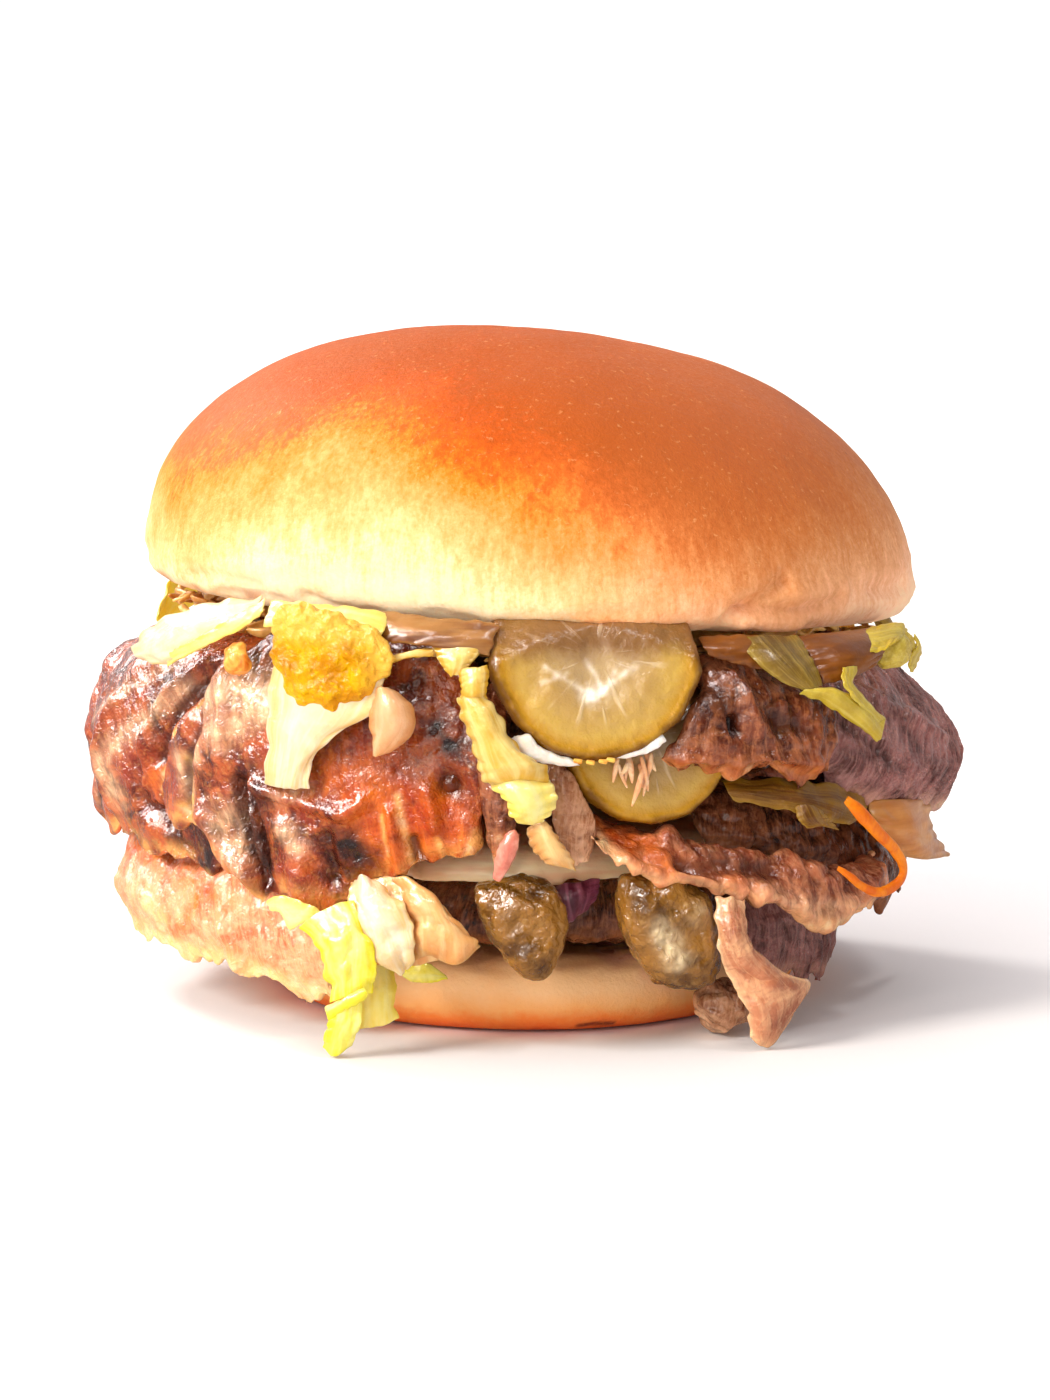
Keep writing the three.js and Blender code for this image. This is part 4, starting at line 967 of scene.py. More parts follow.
    meat(
        "meat_brown", "brown_slice", BROWN, "brown_meat", 50, wrinkle=0.5,
        folds=[
            ([[28, 52], [29, 48.6], [30.3, 44.6]], 1.8, 1.5), ([[26.6, 46.6], [26.8, 44.8]], 1.1, -1.9),
            ([[20, 41], [26, 40.4], [33, 40.6], [41, 39.6]], 1.7, 1.0), ([[33, 46], [38, 44]], 2.4, -0.9),
        ],
        char=[([[26.6, 46.4], [26.8, 45]], 1.0, 0.9), ([[22, 50], [25, 48]], 3.0, 0.6)],
        amber=[([[18, 40], [24, 38.6], [33, 38.6], [42, 38]], 2.6, 0.6)],
        fat=[([[24, 38], [31, 37.8]], 1.1, 0.7), ([[29, 39.6]], 1.0, 0.7)],
    )
    meat(
        "meat_grain", "grain_slice", GRAIN, "grain_meat", 60, lean=-1.1, coarse=0.5, strand=0.7,
        wrinkle=0.3, width=1.0, length=16,
        folds=[([[56, 50], [66, 44], [78, 38]], 2.0, 0.9), ([[52, 44], [60, 36]], 2.4, -0.9)],
        fat=[([[86, 31], [78, 28.4], [70, 29]], 1.8, 0.6)],
    )
    meat(
        "meat_orange", "orange_slice", ORANGE, "orange_meat", 70, voxel=0.7, coarse=0.5,
        folds=[
            ([[19, 30], [24, 31], [31, 29.4], [38, 27]], 1.4, 1.4),
            ([[20, 27], [27, 26], [34, 25]], 2.0, -1.4),
            ([[31, 21.4], [42, 17.4], [50, 18.4], [57, 22]], 2.0, 1.2), ([[12, 28], [17, 25]], 2.0, 0.7),
        ],
        char=[
            ([[20, 29.6], [25.5, 28.6], [31.4, 25.9]], 2.6, 0.55), ([[36.1, 24.8], [41.3, 21.9]], 2, 0.35),
            ([[20, 25.1], [27, 21.8], [36.2, 17.3]], 1.2, 0.5),
        ],
        amber=[([[8.4, 33.6], [13.5, 29.6], [18.7, 25.2]], 4.4, 1), ([[26.9, 24.6], [31.4, 21.4]], 2, 0.5)],
        fat=[
            ([[8.2, 31.7], [12.2, 27.2], [16.6, 24.8]], 1.2, 0.8),
            ([[34.6, 16.8], [45.1, 16.2], [52.4, 17.9]], 1.6, 0.7),
        ],
        pale=[([[29.9, 22.2], [39.5, 18.8], [48.8, 18.5]], 2.6, 0.6)],
    )
    meat("meat_dark", "dark_slice", DARK, "dark_meat", 80, voxel=0.7, coarse=0.5)
    meat(
        "meat_low_slab", "low_slice", GRAIN, "dark_meat", 90, coarse=0.4, width=1.2, wrinkle=0.4,
        fat=[([[68, 14], [69, 8]], 1.8, 0.6)],
    )
    meat("meat_low_lump", "low_lump", TAN, "brown_meat", 95, voxel=0.6, rim=1.6)
    meat(
        "meat_strip_centre", "centre_strip", TAN, "brown_meat", 110, voxel=0.5, coarse=0.3, strand=0.4,
        wrinkle=0.3,
        rim=1.2, ragged=0.4,
    )
    meat(
        "meat_strip_mid", "middle_strip", BROWN, "brown_meat", 105, voxel=0.5, coarse=0.3, strand=0.4,
        wrinkle=0.3, rim=1.2,
        ragged=0.4, fat=[([[-4, 31], [-4.4, 26]], 2.0, 0.6)],
    )
    meat(
        "meat_back_right", "back_right_slice", GLAZED, "glazed_meat", 120, voxel=0.9,
        folds=[
            ([[130, 50], [133, 38], [131, 28]], 3.0, 1.6), ([[150, 50], [147, 36], [150, 26]], 2.6, -1.6),
            ([[165, 48], [168, 34]], 3.0, 1.4),
        ],
        char=[([[140, 30], [144, 26]], 3.4, 1.0), ([[170, 36]], 2.6, 0.8)],
        amber=[([[155, 34], [158, 27]], 6.0, 1.0), ([[124, 40]], 5.0, 0.6)],
        fat=[([[127, 29], [131, 28]], 1.6, 0.9)],
    )
    meat(
        "meat_back_left", "back_left_slice", GLAZED, "glazed_meat", 130, voxel=0.9,
        folds=[([[-160, 50], [-158, 40], [-161, 32]], 3.0, 1.6), ([[-145, 50], [-147, 38]], 2.4, -1.5)],
        char=[([[-150, 36]], 3.0, 0.9)], amber=[
            ([[-166, 38], [-163, 33]], 5.0, 1.0), ([[-136, 36]], 4.0, 0.7),
        ],
        fat=[([[-155, 35], [-150, 33]], 1.4, 0.8)],
    )
    meat(
        "meat_back_low", "back_low_slice", ORANGE, "orange_meat", 140, voxel=0.95,
        amber=[([[120, 20], [128, 16]], 4.0, 0.9)],
        fat=[([[100, 15], [118, 17], [132, 14], [150, 16], [166, 15]], 1.5, 0.7)],
    )
    meat(
        "meat_far_left", "far_left_slice", PALE, "pale_meat", 150, voxel=0.95, lean=0.3,
        amber=[([[-160, 26], [-150, 22]], 5.0, 0.8)],
        fat=[([[-180, 15], [-160, 12], [-140, 11], [-116, 10.6]], 2.0, 0.9)],
    )
    meat("meat_pile", "inner_pile", DARK, "dark_meat", 160, voxel=1.7, coarse=0.9, ragged=0.0, thin=0.0)
    meat("meat_under", "inner_under", DARK, "dark_meat", 170, voxel=1.7, coarse=0.7, ragged=0.0, thin=0.0)


# ---- Soft round pieces ----
WEDGE_OUTLINE = [
    [-7.2, 22.9], [-6.9, 19.4], [-5.6, 16.6], [-2.6, 13.2], [-0.9, 11.4], [1.1, 11.1], [2.5, 12.2],
    [3.8, 14.6], [4.5, 17.4], [4.1, 20.6], [2.9, 22.6], [-1.5, 24.3],
]
CHUNK_OUTLINE = [
    [13.3, 24.4], [12.8, 21.6], [13.1, 18.2], [14.2, 15.3], [16.9, 11.7], [18.6, 10.2], [22.5, 9.5],
    [25.1, 9.7], [26.1, 13.1], [25.7, 17.3], [24.2, 21.9], [19.6, 24.7],
]


def soft(node, name, material, slot, seed, *, voxel=0.6, smoothing=4, coarse=0.3, size=4.0, fine=0.06):
    """A soft piece from its CAD node, rounded and made uneven."""
    piece = copy_of(node, name)
    rounded(piece, voxel, smoothing, 1)
    at = points(piece)
    swell(piece, coarse * lumps(at, size, seed, 2) + fine * lumps(at, 1.2, seed + 1))
    note(piece, "flow", at)
    return served(piece, material, slot, node)


def lump(name, material, slot, outline, inner, outer, seed, *stands_for, pale=()):
    """A lump with an outline of [bearing, height], from one radius out to another, uneven all over."""
    ring = np.array(outline, float)
    middle, depth = ring.mean(0), outer - inner
    rings = []
    for radius, reach in (
        (inner, 0.9), (inner + 0.3 * depth, 1.12), (inner + 0.75 * depth, 1.06), (outer, 0.66),
    ):
        bearing, height = (middle + (ring - middle) * reach).T
        rings.append(polar(bearing, radius, height))
    count = len(ring)
    faces = [tuple(range(count)), tuple(range(3 * count, 4 * count))[::-1]]
    for i in range(3):
        for k in range(count):
            a, b = i * count + k, i * count + (k + 1) % count
            faces.append((b, a, a + count, b + count))
    mesh = bpy.data.meshes.new(name)
    mesh.from_pydata((np.vstack(rings) * MM).tolist(), [], faces)
    piece = new_piece(name, mesh)
    bpy.ops.object.mode_set(mode="EDIT")
    bpy.ops.mesh.select_all(action="SELECT")
    bpy.ops.mesh.normals_make_consistent(inside=False)
    bpy.ops.object.mode_set(mode="OBJECT")
    rounded(piece, 0.5, 5, 1)
    at = points(piece)
    relief = 0.5 * (lumps(at, 4.0, seed, 2) + 0.5 * creases(at, 3.0, seed + 4)) + 0.12 * lumps(
        at, 1.0, seed + 1,
    )
    swell(piece, relief)
    note(piece, "pulp", np.clip(strokes(at, pale) * (0.7 + 0.6 * lumps(at, 1.6, seed, 2)), 0, 1))
    return served(piece, material, slot, *stands_for)


def pickle(node, name, bearing, out, low, radius, seed, pulp=()):
    """A slice of pickle: what lies where is noted from its own middle, out to its skin."""
    piece = copy_of(node, name)
    rounded(piece, 0.6, 3, 1)
    tucked(piece, 3.6)
    at = points(piece)
    turn = math.radians(bearing)
    side = np.array([math.cos(turn), math.sin(turn), 0])
    away = np.array([math.sin(turn), -math.cos(turn), 0])
    across = at @ side / radius
    bent = np.clip(out - 4 - at @ away, 0, None)
    up = (at[:, 2] - low - radius + bent) / radius
    whole = np.hypot(across, up)
    note(piece, "share", np.stack([across, up, whole], 1))
    flesh = 1 - between(whole, 0.86, 0.93)
    swell(piece, 0.4 + 0.15 * lumps(at, 5, seed, 2) + flesh * (0.14 * lumps(at, 1.6, seed + 1) - 0.5))
    streaks = np.zeros(len(at))
    for where, to, width, strength in pulp:
        a, b = np.array(where), np.array(to)
        run = b - a
        spot = np.stack([across, up], 1)
        share = np.clip((spot - a) @ run / max(run @ run, 1e-9), 0, 1)
        gap = np.hypot(*(spot - a - share[:, None] * run).T)
        streaks += strength * np.exp(-((gap / width) ** 2))
    broken = 0.7 + 0.7 * lumps(at, 1.1, seed + 2, 2)
    note(piece, "pulp", np.clip(streaks * broken, 0, 1))
    return served(piece, PICKLE, "pickle", node)


FRONT_PULP = [
    ([-0.09, -0.37], [0.02, -0.36], 0.07, 1.3), ([-0.49, -0.1], [-0.15, -0.31], 0.028, 0.5),
    ([-0.54, -0.25], [-0.28, -0.16], 0.022, 0.4), ([0.06, -0.32], [0.36, -0.11], 0.03, 0.6),
    ([-0.09, -0.06], [0.05, -0.3], 0.026, 0.5), ([0.11, -0.26], [0.22, -0.1], 0.028, 0.5),
]


def pickles():
    pickle("pickle_front", "front_pickle", 8.5, 59.6, 41.4, 14.6, 200, FRONT_PULP)
    pickle(
        "pickle_lower", "lower_pickle", 17, 54.8, 31.8, 12.4, 210, [([-0.1, -0.2], [0.2, -0.1], 0.08, 0.4)],
    )
    pickle("pickle_back", "back_pickle", 176, 63.2, 40.6, 14, 220, [([-0.1, 0.1], [0.1, 0], 0.1, 0.8)])
    pickle("pickle_side", "side_pickle", -150, 64, 43.8, 13, 230, [([-0.1, 0.0], [0.15, 0.1], 0.1, 0.7)])
    lump("pickle_wedge_lump", CHUNK, "pickle_chunk", WEDGE_OUTLINE, 51.0, 59.5, 240, "pickle_wedge")
    lump(
        "pickle_chunk_lump", CHUNK, "pickle_chunk", CHUNK_OUTLINE, 52.5, 61.5, 250, "pickle_chunk",
        pale=[([[17, 18], [19, 14]], 2.4, 1.1), ([[22, 20]], 2.4, 0.4)],
    )
    piece = soft("pickle_back_chunk", "pickle_back_lump", CHUNK, "pickle_chunk", 260, coarse=0.6, size=4.5)
    note(piece, "pulp", strokes(points(piece), [([[150, 17]], 3.0, 0.8)]))


def relish():
    piece = soft(
        "relish_blob", "relish_heap", RELISH, "relish", 270, voxel=0.5, coarse=0.8, size=3.0, fine=0.3,
    )
    bearing, _, height = around(points(piece))
    note(piece, "cream", np.clip(between(height, 56, 60) + between(bearing, -22, -17), 0, 1))


def rounds():
    soft("onion_round", "onion_ring", ONION, "onion", 280, voxel=1.1, coarse=0.35, size=9)
    soft("crisp_bit", "golden_bit", CRISP, "relish", 290, voxel=0.4, coarse=0.4, size=2.0)


# ---- Leaves and thin slices ----
def frill_of(t, s, size, count, seed):
    """How far an edge stands off its sheet in mm: uneven waves that grow towards both edges."""
    wander = 1.5 * lumps(np.stack([4 * t, s, 0 * t], 1), 1.0, seed)
    turns = 2 * np.pi * (count * t + 0.2 * s) + 2 * seed + np.sign(s) + wander
    return size * np.abs(s) ** 2.2 * np.sin(turns)


def sheet(
    name, material, slot, rails, *stands_for, thick=0.55, frill=0.3, frills=5, crumple=0.3, ragged=0.35,
    torn=0.35,
    seed=1, cols=48, rows=14,
):
    """A thin piece through rails of [bearing, radius, height], uneven at its edges and thinner there."""
    bpy.ops.object.select_all(action="DESELECT")
    bpy.ops.mesh.primitive_grid_add(x_subdivisions=cols, y_subdivisions=rows, size=1)
    piece = bpy.context.object
    piece.name = name
    flat = points(piece) * MM
    column = np.rint((flat[:, 0] + 0.5) * cols).astype(int)
    row = np.rint((flat[:, 1] + 0.5) * rows).astype(int)
    along, over = np.linspace(0, 1, cols + 1), np.linspace(0, 1, rows + 1)
    lines = np.array([curve_through([polar(*knot) for knot in rail], along) for rail in rails])
    surface = curve_through(lines, over)
    way, side = np.gradient(surface, axis=1), np.gradient(surface, axis=0)
    span = np.linalg.norm(surface[-1] - surface[0], axis=1).mean()
    length = np.linalg.norm(np.diff(surface[rows // 2], axis=0), axis=1).sum()
    face = unit(np.cross(side, way))[row, column]
    way, side, at = unit(way)[row, column], unit(side)[row, column], surface[row, column]
    t, s = along[column], 2 * over[row] - 1
    rim = np.stack([t * length / 2.2, np.sign(s) * 3, 0 * t], 1)
    at = at + side * (ragged * s**3 * (lumps(rim, 1.0, seed, 3) + 0.5))[:, None]
    end = np.stack([s * span / 3.0, np.sign(t - 0.5) * 5, 0 * t], 1)
    at = at + way * (torn * (2 * t - 1) ** 5 * (lumps(end, 1.0, seed + 3, 3) + 0.5))[:, None]
    cloth = np.stack([t * length, s * span / 2, 0 * t], 1)
    lift = frill_of(t, s, frill, frills, seed) + crumple * lumps(cloth, (5, 3, 1), seed + 1, 3)
    at = at + face * lift[:, None]
    place(piece, at)
    note(piece, "flow", np.stack([s * span / 2, t * length, np.full(len(t), 3.1 * seed)], 1))
    note(piece, "share", np.stack([s, t, lift], 1))
    note(piece, "rim", np.clip(np.abs(s) ** 6 + np.abs(2 * t - 1) ** 12, 0, 1))
    body = piece.vertex_groups.new(name="body")
    taper = 0.3 + 0.7 * (1 - np.abs(s) ** 4) * (1 - np.abs(2 * t - 1) ** 8)
    for index, weight in enumerate(taper):
        body.add([index], float(weight), "REPLACE")
    applied(piece, "SOLIDIFY", thickness=thick * MM, offset=0, vertex_group="body")
    divided(piece, 1)
    return served(piece, material, slot, *stands_for)


def strip(name, material, slot, spine, width, *stands_for, cup=0.15, **more):
    """A sheet along a spine of [bearing, radius, height], as wide as `width` tells, and cupped."""
    count = len(spine)
    share = np.linspace(0, 1, count)
    middle = np.array([polar(*knot) for knot in spine])
    way = unit(np.gradient(middle, axis=0))
    out = unit(middle * [1, 1, 0])
    side = unit(np.cross(way, out))
    face = np.cross(side, way)
    half = spread(width, share)[:, None] / 2
    rails = []
    for s in (-1, -0.5, 0, 0.5, 1):
        at = middle + side * half * s + face * half * cup * (1 - s * s) * 2
        bearing, radius, height = around(at)
        rails.append(np.stack([bearing, radius, height], 1))
    return sheet(name, material, slot, unwound(rails), *stands_for, **more)


def unwound(rails):
    """Rails whose bearings don't jump from 180 to -180 degrees."""
    return [np.stack([np.degrees(np.unwrap(np.radians(r[:, 0]))), r[:, 1], r[:, 2]], 1) for r in rails]


CARROT_SPINE = [
    [44.5, 62.6, 34], [46.2, 63.6, 32], [49.5, 64.2, 28.6], [52.6, 64.4, 26], [54.6, 64.4, 23.4],
    [54.5, 64.2, 21.4], [52.4, 63.8, 20.3], [49.5, 63.6, 20.3], [46.8, 63.2, 21.6], [44.6, 62.8, 23.4],
    [43.3, 62.4, 24.4],
]


def leaves():
    sheet(
        "left_leaf", CABBAGE, "cabbage", [
            [[-40.1, 58, 62.2], [-43.3, 60, 61.8], [-48.2, 62, 60.8], [-55, 63, 58.5], [-60.3, 63.2, 56],
             [-65, 63, 53.2]],
            [[-39, 60, 61.3], [-41.9, 62.4, 60.2], [-46.4, 63.6, 58.8], [-52.1, 64.2, 56.1],
             [-57.1, 64.2, 54.1], [-63.2, 63.6, 52.5]],
            [[-37.3, 61, 61], [-40, 62.6, 58.6], [-44.7, 63, 56.4], [-50.1, 63.2, 53.8], [
                -54.2, 63.4, 52.1,
            ],
             [-62.5, 63, 51.7]],
        ], "cabbage_left",
        frill=0.35, thick=0.7, seed=41,
    )
    sheet(
        "left_leaf_edge", GOLD, "cabbage", [
            [[-37.1, 61.4, 62.4], [-41.5, 63.8, 59.2], [-47.6, 64.3, 55.9], [-52.8, 64, 53.7]],
            [[-36.7, 61.6, 60.9], [-39.4, 63.2, 58.4], [-45.2, 63.8, 55.6], [-53.2, 63.8, 52.1]],
        ], "cabbage_left",
        frill=0.2, seed=42,
    )
    sheet(
        "relish_leaf", CABBAGE, "cabbage", [
            [[-31, 61.5, 57.3], [-34.4, 63, 52.8], [-34.6, 63.4, 48.9], [-34.8, 63.4, 45.5],
             [-35.2, 63.2, 41.3], [-36, 62.6, 37.1]],
            [[-24.6, 62.5, 57.8], [-25.7, 64.6, 52.5], [-27.5, 64.6, 47.6], [-29.5, 64.2, 43.9],
             [-30.8, 63.8, 40.3], [-32.2, 62.8, 36.9]],
            [[-18, 62, 56], [-18.5, 63, 52.7], [-19.9, 63.4, 48.3], [-24.6, 63.2, 45.1], [
                -28.3, 62.8, 41.4,
            ],
             [-29.4, 62.4, 37.1]],
        ], "cabbage_relish",
        frill=0.3, frills=4, thick=0.7, seed=43,
    )
    sheet(
        "white_curl", CURL, "cabbage", [
            [[-19.2, 63.2, 51.4], [-19.6, 63.6, 49.4], [-20.3, 63.4, 47.2], [-19.8, 63, 44.7],
             [-19.9, 62.8, 42.3]],
            [
                [-18.3, 64, 51.7], [-17, 65.4, 49.6], [-16.7, 65.6, 47.3], [-17.7, 64.6, 45],
                [-19.4, 63.2, 42.3],
            ],
            [
                [-17.4, 63, 51.3], [-15.1, 63.4, 49.6], [-14.3, 63.4, 47.2], [-15.9, 63, 44.3],
                [-19, 62.8, 42.4],
            ],
        ], "cabbage_curl",
        thick=1.2, crumple=0.2, frill=0.1, seed=44,
    )
    sheet(
        "crown_leaf_arc", LETTUCE, "lettuce", [
            [[-19, 61.5, 55.1], [-17, 61.8, 56.1], [-14.8, 61.8, 56.7], [-12.7, 61.4, 56.8]],
            [[-19, 61.5, 54.4], [-16.7, 61.8, 55.3], [-14.8, 61.6, 55.8], [-12.7, 61.2, 55.9]],
        ], "lettuce_crown",
        crumple=0.1, frill=0.1, ragged=0.1, seed=45,
    )
    sheet(
        "crown_leaf", LETTUCE, "lettuce", [
            [[-13, 60, 57.7], [-12, 61, 55.6], [-10.7, 61.6, 53.7]],
            [[-9.8, 60.6, 57.7], [-9.6, 61.8, 55.5], [-9.9, 62, 53.5]],
            [[-5.9, 60, 57.3], [-7.3, 61, 55.5], [-8.7, 61.8, 53.8]],
        ], "lettuce_crown",
        crumple=0.2, frill=0.1, ragged=0.2, seed=46,
    )
    sheet(
        "top_onion", BROWN_ONION, "onion", [
            [[-22.6, 57.5, 61.5], [-15.2, 58, 60.9], [-8.2, 58.2, 60.4], [-4.4, 58, 59.9]],
            [[-21.4, 59.4, 59.5], [-15.9, 60, 59.2], [-10.6, 60.2, 58.6], [-5.1, 59.8, 58.1]],
            [[-20.8, 60.4, 57.7], [-17.7, 60.8, 57.6], [-12.8, 61, 57.3], [-5.6, 60.4, 56.1]],
        ], "onion_top",
        thick=1.0, frill=0.1, crumple=0.25, seed=47,
    )
    sheet(
        "relish_top", GOLD, "cabbage", [
            [[-37.8, 58.5, 62], [-31, 59, 62], [-24.9, 58.8, 61.8], [-19.3, 58.4, 61.3]],
            [[-36.5, 61, 60.5], [-30.5, 61.6, 60.4], [-24.3, 61.6, 60.1], [-19.2, 60.6, 59.7]],
            [[-36.1, 62.4, 59], [-29.9, 63.2, 58.6], [-24, 63.2, 58.4], [-19.3, 62, 58.5]],
        ], "cabbage_relish",
        thick=0.9, frill=0.2, crumple=0.5, seed=48,
    )
    sheet(
        "rope_top", LETTUCE, "lettuce", [
            [[-8.8, 62, 54.2], [-8.7, 62.8, 52.1], [-8.9, 63, 50.3]],
            [[-7.2, 62.8, 54.6], [-7.1, 63.8, 52.6], [-7.2, 64, 50.3]],
            [[-5.7, 62, 54.8], [-5.5, 62.6, 52.7], [-5.7, 62.8, 50.4]],
        ], "lettuce_rope",
        frill=0.1, seed=49,
    )
    sheet(
        "rope_leaf", LETTUCE, "lettuce", [
            [[-9.1, 62.8, 50.4], [-8.5, 63.2, 48], [-7.5, 63.4, 45.2], [-6.8, 63.4, 42.5], [-6.2, 63.2, 40],
             [-4.9, 62.6, 39]],
            [[-7.7, 64, 50.7], [-6.6, 65, 47.8], [-5.4, 65.2, 44.9], [-4.7, 65.2, 42.2], [-4, 65, 40.6],
             [-3.2, 63.6, 39.4]],
            [[-6.4, 64.2, 50.7], [-4.7, 65, 47.9], [-3.3, 65.2, 44.9], [-1.6, 65.2, 42.8], [
                -0.7, 64.8, 41.4,
            ],
             [-0.9, 63.8, 39.9]],
            [[-5.6, 63, 50.7], [-3.9, 63.2, 48.2], [-2.2, 63.2, 44.5], [0.3, 63, 42.2], [1.9, 63, 41],
             [1.8, 62.8, 39]],
        ], "lettuce_rope",
        frill=0.3, frills=6, crumple=0.5, seed=50,
    )
    sheet(
        "rope_end", GOLD, "lettuce", [
            [
                [-5.4, 62.4, 39.1], [-4.1, 63, 37.7], [-2.9, 63.2, 36.5], [-2.7, 62.8, 34.8],
                [-1.5, 62, 33.7],
            ],
            [[-2.6, 63.6, 39.6], [-1.4, 64.6, 37.8], [-0.4, 64.4, 36.1], [-0.2, 63.4, 34.6], [0, 62, 33.2]],
            [[1.6, 62.6, 40], [2.6, 63, 38.4], [3, 63, 36.7], [2.4, 62.6, 35], [1.4, 62, 33.9]],
        ], "lettuce_rope",
        frill=0.3, crumple=0.4, seed=51,
    )
    sheet(
        "small_leaf", CREAM, "cabbage", [
            [[-0.6, 60.4, 32.5], [-0.2, 61, 30.4], [1.1, 61, 28.5], [2.1, 60.6, 27.3]],
            [[1.3, 61.4, 33.5], [2, 62.2, 31.4], [3, 62, 29.2], [4.4, 61, 27.1]],
            [[2.6, 60.6, 32.4], [3.7, 61.2, 30.3], [5, 61, 28.6], [5.7, 60.4, 26.7]],
        ], "lettuce_small",
        frill=0.2, seed=52,
    )
    sheet(
        "striped_leaf", GREEN, "green_leaf", [
            [[29.4, 57, 57.2], [30.2, 60, 54.8], [32.7, 62, 52.1], [36.3, 63, 50.1]],
            [[33.8, 58.5, 57.4], [34.5, 61.4, 54.8], [35.8, 63, 52.5], [37.3, 63.8, 50.4]],
            [[39.6, 58, 56.9], [39.1, 60.6, 54.8], [39.1, 62.2, 52.9], [39.5, 63, 50.7]],
        ], "lettuce_striped",
        frill=0.1, crumple=0.2, seed=53,
    )
    sheet(
        "left_amber", DARK_AMBER, "onion", [
            [[24.4, 56, 57.4], [30.2, 57, 57.5], [35.4, 58, 56.9]],
            [[24.2, 57.6, 56.4], [28.9, 58.6, 55.8], [33.5, 59.4, 54.8]],
            [[24.7, 58.4, 55.4], [28.1, 59.2, 54.2], [32.3, 60, 53.1]],
        ], "onion_amber",
        thick=0.9, frill=0.1, crumple=0.2, seed=54,
    )
    sheet(
        "amber_onion", DARK_AMBER, "onion", [
            [[39.6, 58, 56.8], [39.5, 61, 53.9], [40.2, 62.6, 50.7]],
            [[48.1, 59, 56.9], [45, 62.6, 54.2], [43.8, 63.4, 51.2]],
            [[60.2, 58, 56.6], [54.3, 61.6, 54.5], [49.5, 63, 52.1]],
        ], "onion_amber",
        thick=1.0, frill=0.1, crumple=0.3, seed=55,
    )
    sheet(
        "bead_leaf", FRESH_GREEN, "green_leaf", [
            [[52.9, 58.5, 56.7], [55.7, 60, 57.4], [59.2, 61, 57.3], [60.4, 61.5, 56.2]],
            [[47.7, 62, 54.6], [50.1, 63.2, 54.2], [52.3, 63.6, 54.9], [55, 63.2, 55.5]],
        ], "lettuce_bead",
        frill=0.1, crumple=0.2, seed=56,
    )
    sheet(
        "bead_tail", FRESH_GREEN, "green_leaf", [
            [[62.5, 61.6, 55.1], [62.7, 62, 53.6], [60.7, 62, 52.4], [60.6, 61.8, 50.7]],
            [[63.8, 61.4, 54.9], [65.3, 61.6, 52.8], [64.1, 61.6, 51.4], [62.3, 61.6, 50.1]],
        ], "lettuce_bead",
        frill=0.1, crumple=0.2, seed=57,
    )
    sheet(
        "folded_leaf", FRESH_GREEN, "green_leaf", [
            [
                [36.3, 62.6, 49.6], [39, 63.6, 48.4], [42, 64.2, 46.4], [45.3, 64.6, 44.1],
                [48.6, 64.6, 41.9],
            ],
            [
                [36.5, 63.4, 50.3], [39.3, 64.8, 49.8], [42.3, 65.4, 47.6], [45.6, 65.4, 45],
                [48.7, 65, 42.7],
            ],
            [[37.8, 63, 50.4], [41.4, 64, 49.8], [44.1, 64.6, 48.3], [47, 64.8, 46.2], [49.8, 64.6, 44.9]],
        ], "lettuce_fold",
        frill=0.2, crumple=0.2, seed=58,
    )
    sheet(
        "folded_leaf_curl", FRESH_GREEN, "green_leaf", [
            [[42.3, 64, 52.8], [41.6, 64.8, 51], [42.3, 65.4, 49.2], [44.5, 65.4, 47.1], [48, 65, 44.7]],
            [[45.3, 63.6, 52.6], [43.7, 64.4, 50.7], [44.7, 64.8, 49.1], [47, 65, 46.9], [50, 64.6, 44.9]],
        ], "lettuce_fold",
        frill=0.1, crumple=0.1, seed=59,
    )
    sheet(
        "middle_leaf", SHADED, "green_leaf", [
            [[28.4, 56, 37.4], [34.4, 57.4, 37.3], [40.8, 58.4, 36.5], [47.4, 59, 35], [55.2, 59, 31.9]],
            [
                [27.8, 58, 36.3], [32.9, 59.6, 35.7], [38.8, 60.4, 34.6], [45.1, 60.6, 32.8],
                [51.2, 60, 30.7],
            ],
            [[28.3, 58.6, 35.1], [33, 60, 33.9], [37.6, 61, 32.8], [42.1, 61.2, 31.2], [47.9, 60.4, 29.8]],
        ], "lettuce_middle",
        frill=0.3, crumple=0.4, seed=60,
    )
    sheet(
        "middle_leaf_flap", SHADED, "green_leaf", [
            [[36.9, 60.8, 33.7], [37, 61.6, 31.8], [38.7, 61.4, 30.5]],
            [[38, 61.6, 33.7], [38.5, 62.4, 32], [40.5, 61.8, 30.6]],
            [[40.8, 61, 33], [42.1, 61.6, 31.5], [44.5, 61.2, 29.6]],
        ], "lettuce_middle",
        frill=0.1, crumple=0.2, seed=61,
    )
    sheet(
        "right_onion", YELLOW_ONION, "onion", [
            [[53.6, 59, 32.4], [54.1, 60.4, 29.6], [55.6, 60.8, 26.5], [60, 61, 23.7]],
            [[61.5, 61, 31.5], [59.9, 62.6, 28.2], [62.6, 62.6, 25.3], [67, 62, 22.1]],
            [[74.5, 61, 29.5], [71.2, 61.6, 26.8], [79.5, 61.6, 22.4], [83.9, 62.8, 19.6]],
        ], "onion_right",
        thick=0.9, frill=0.2, crumple=0.4, seed=62,
    )
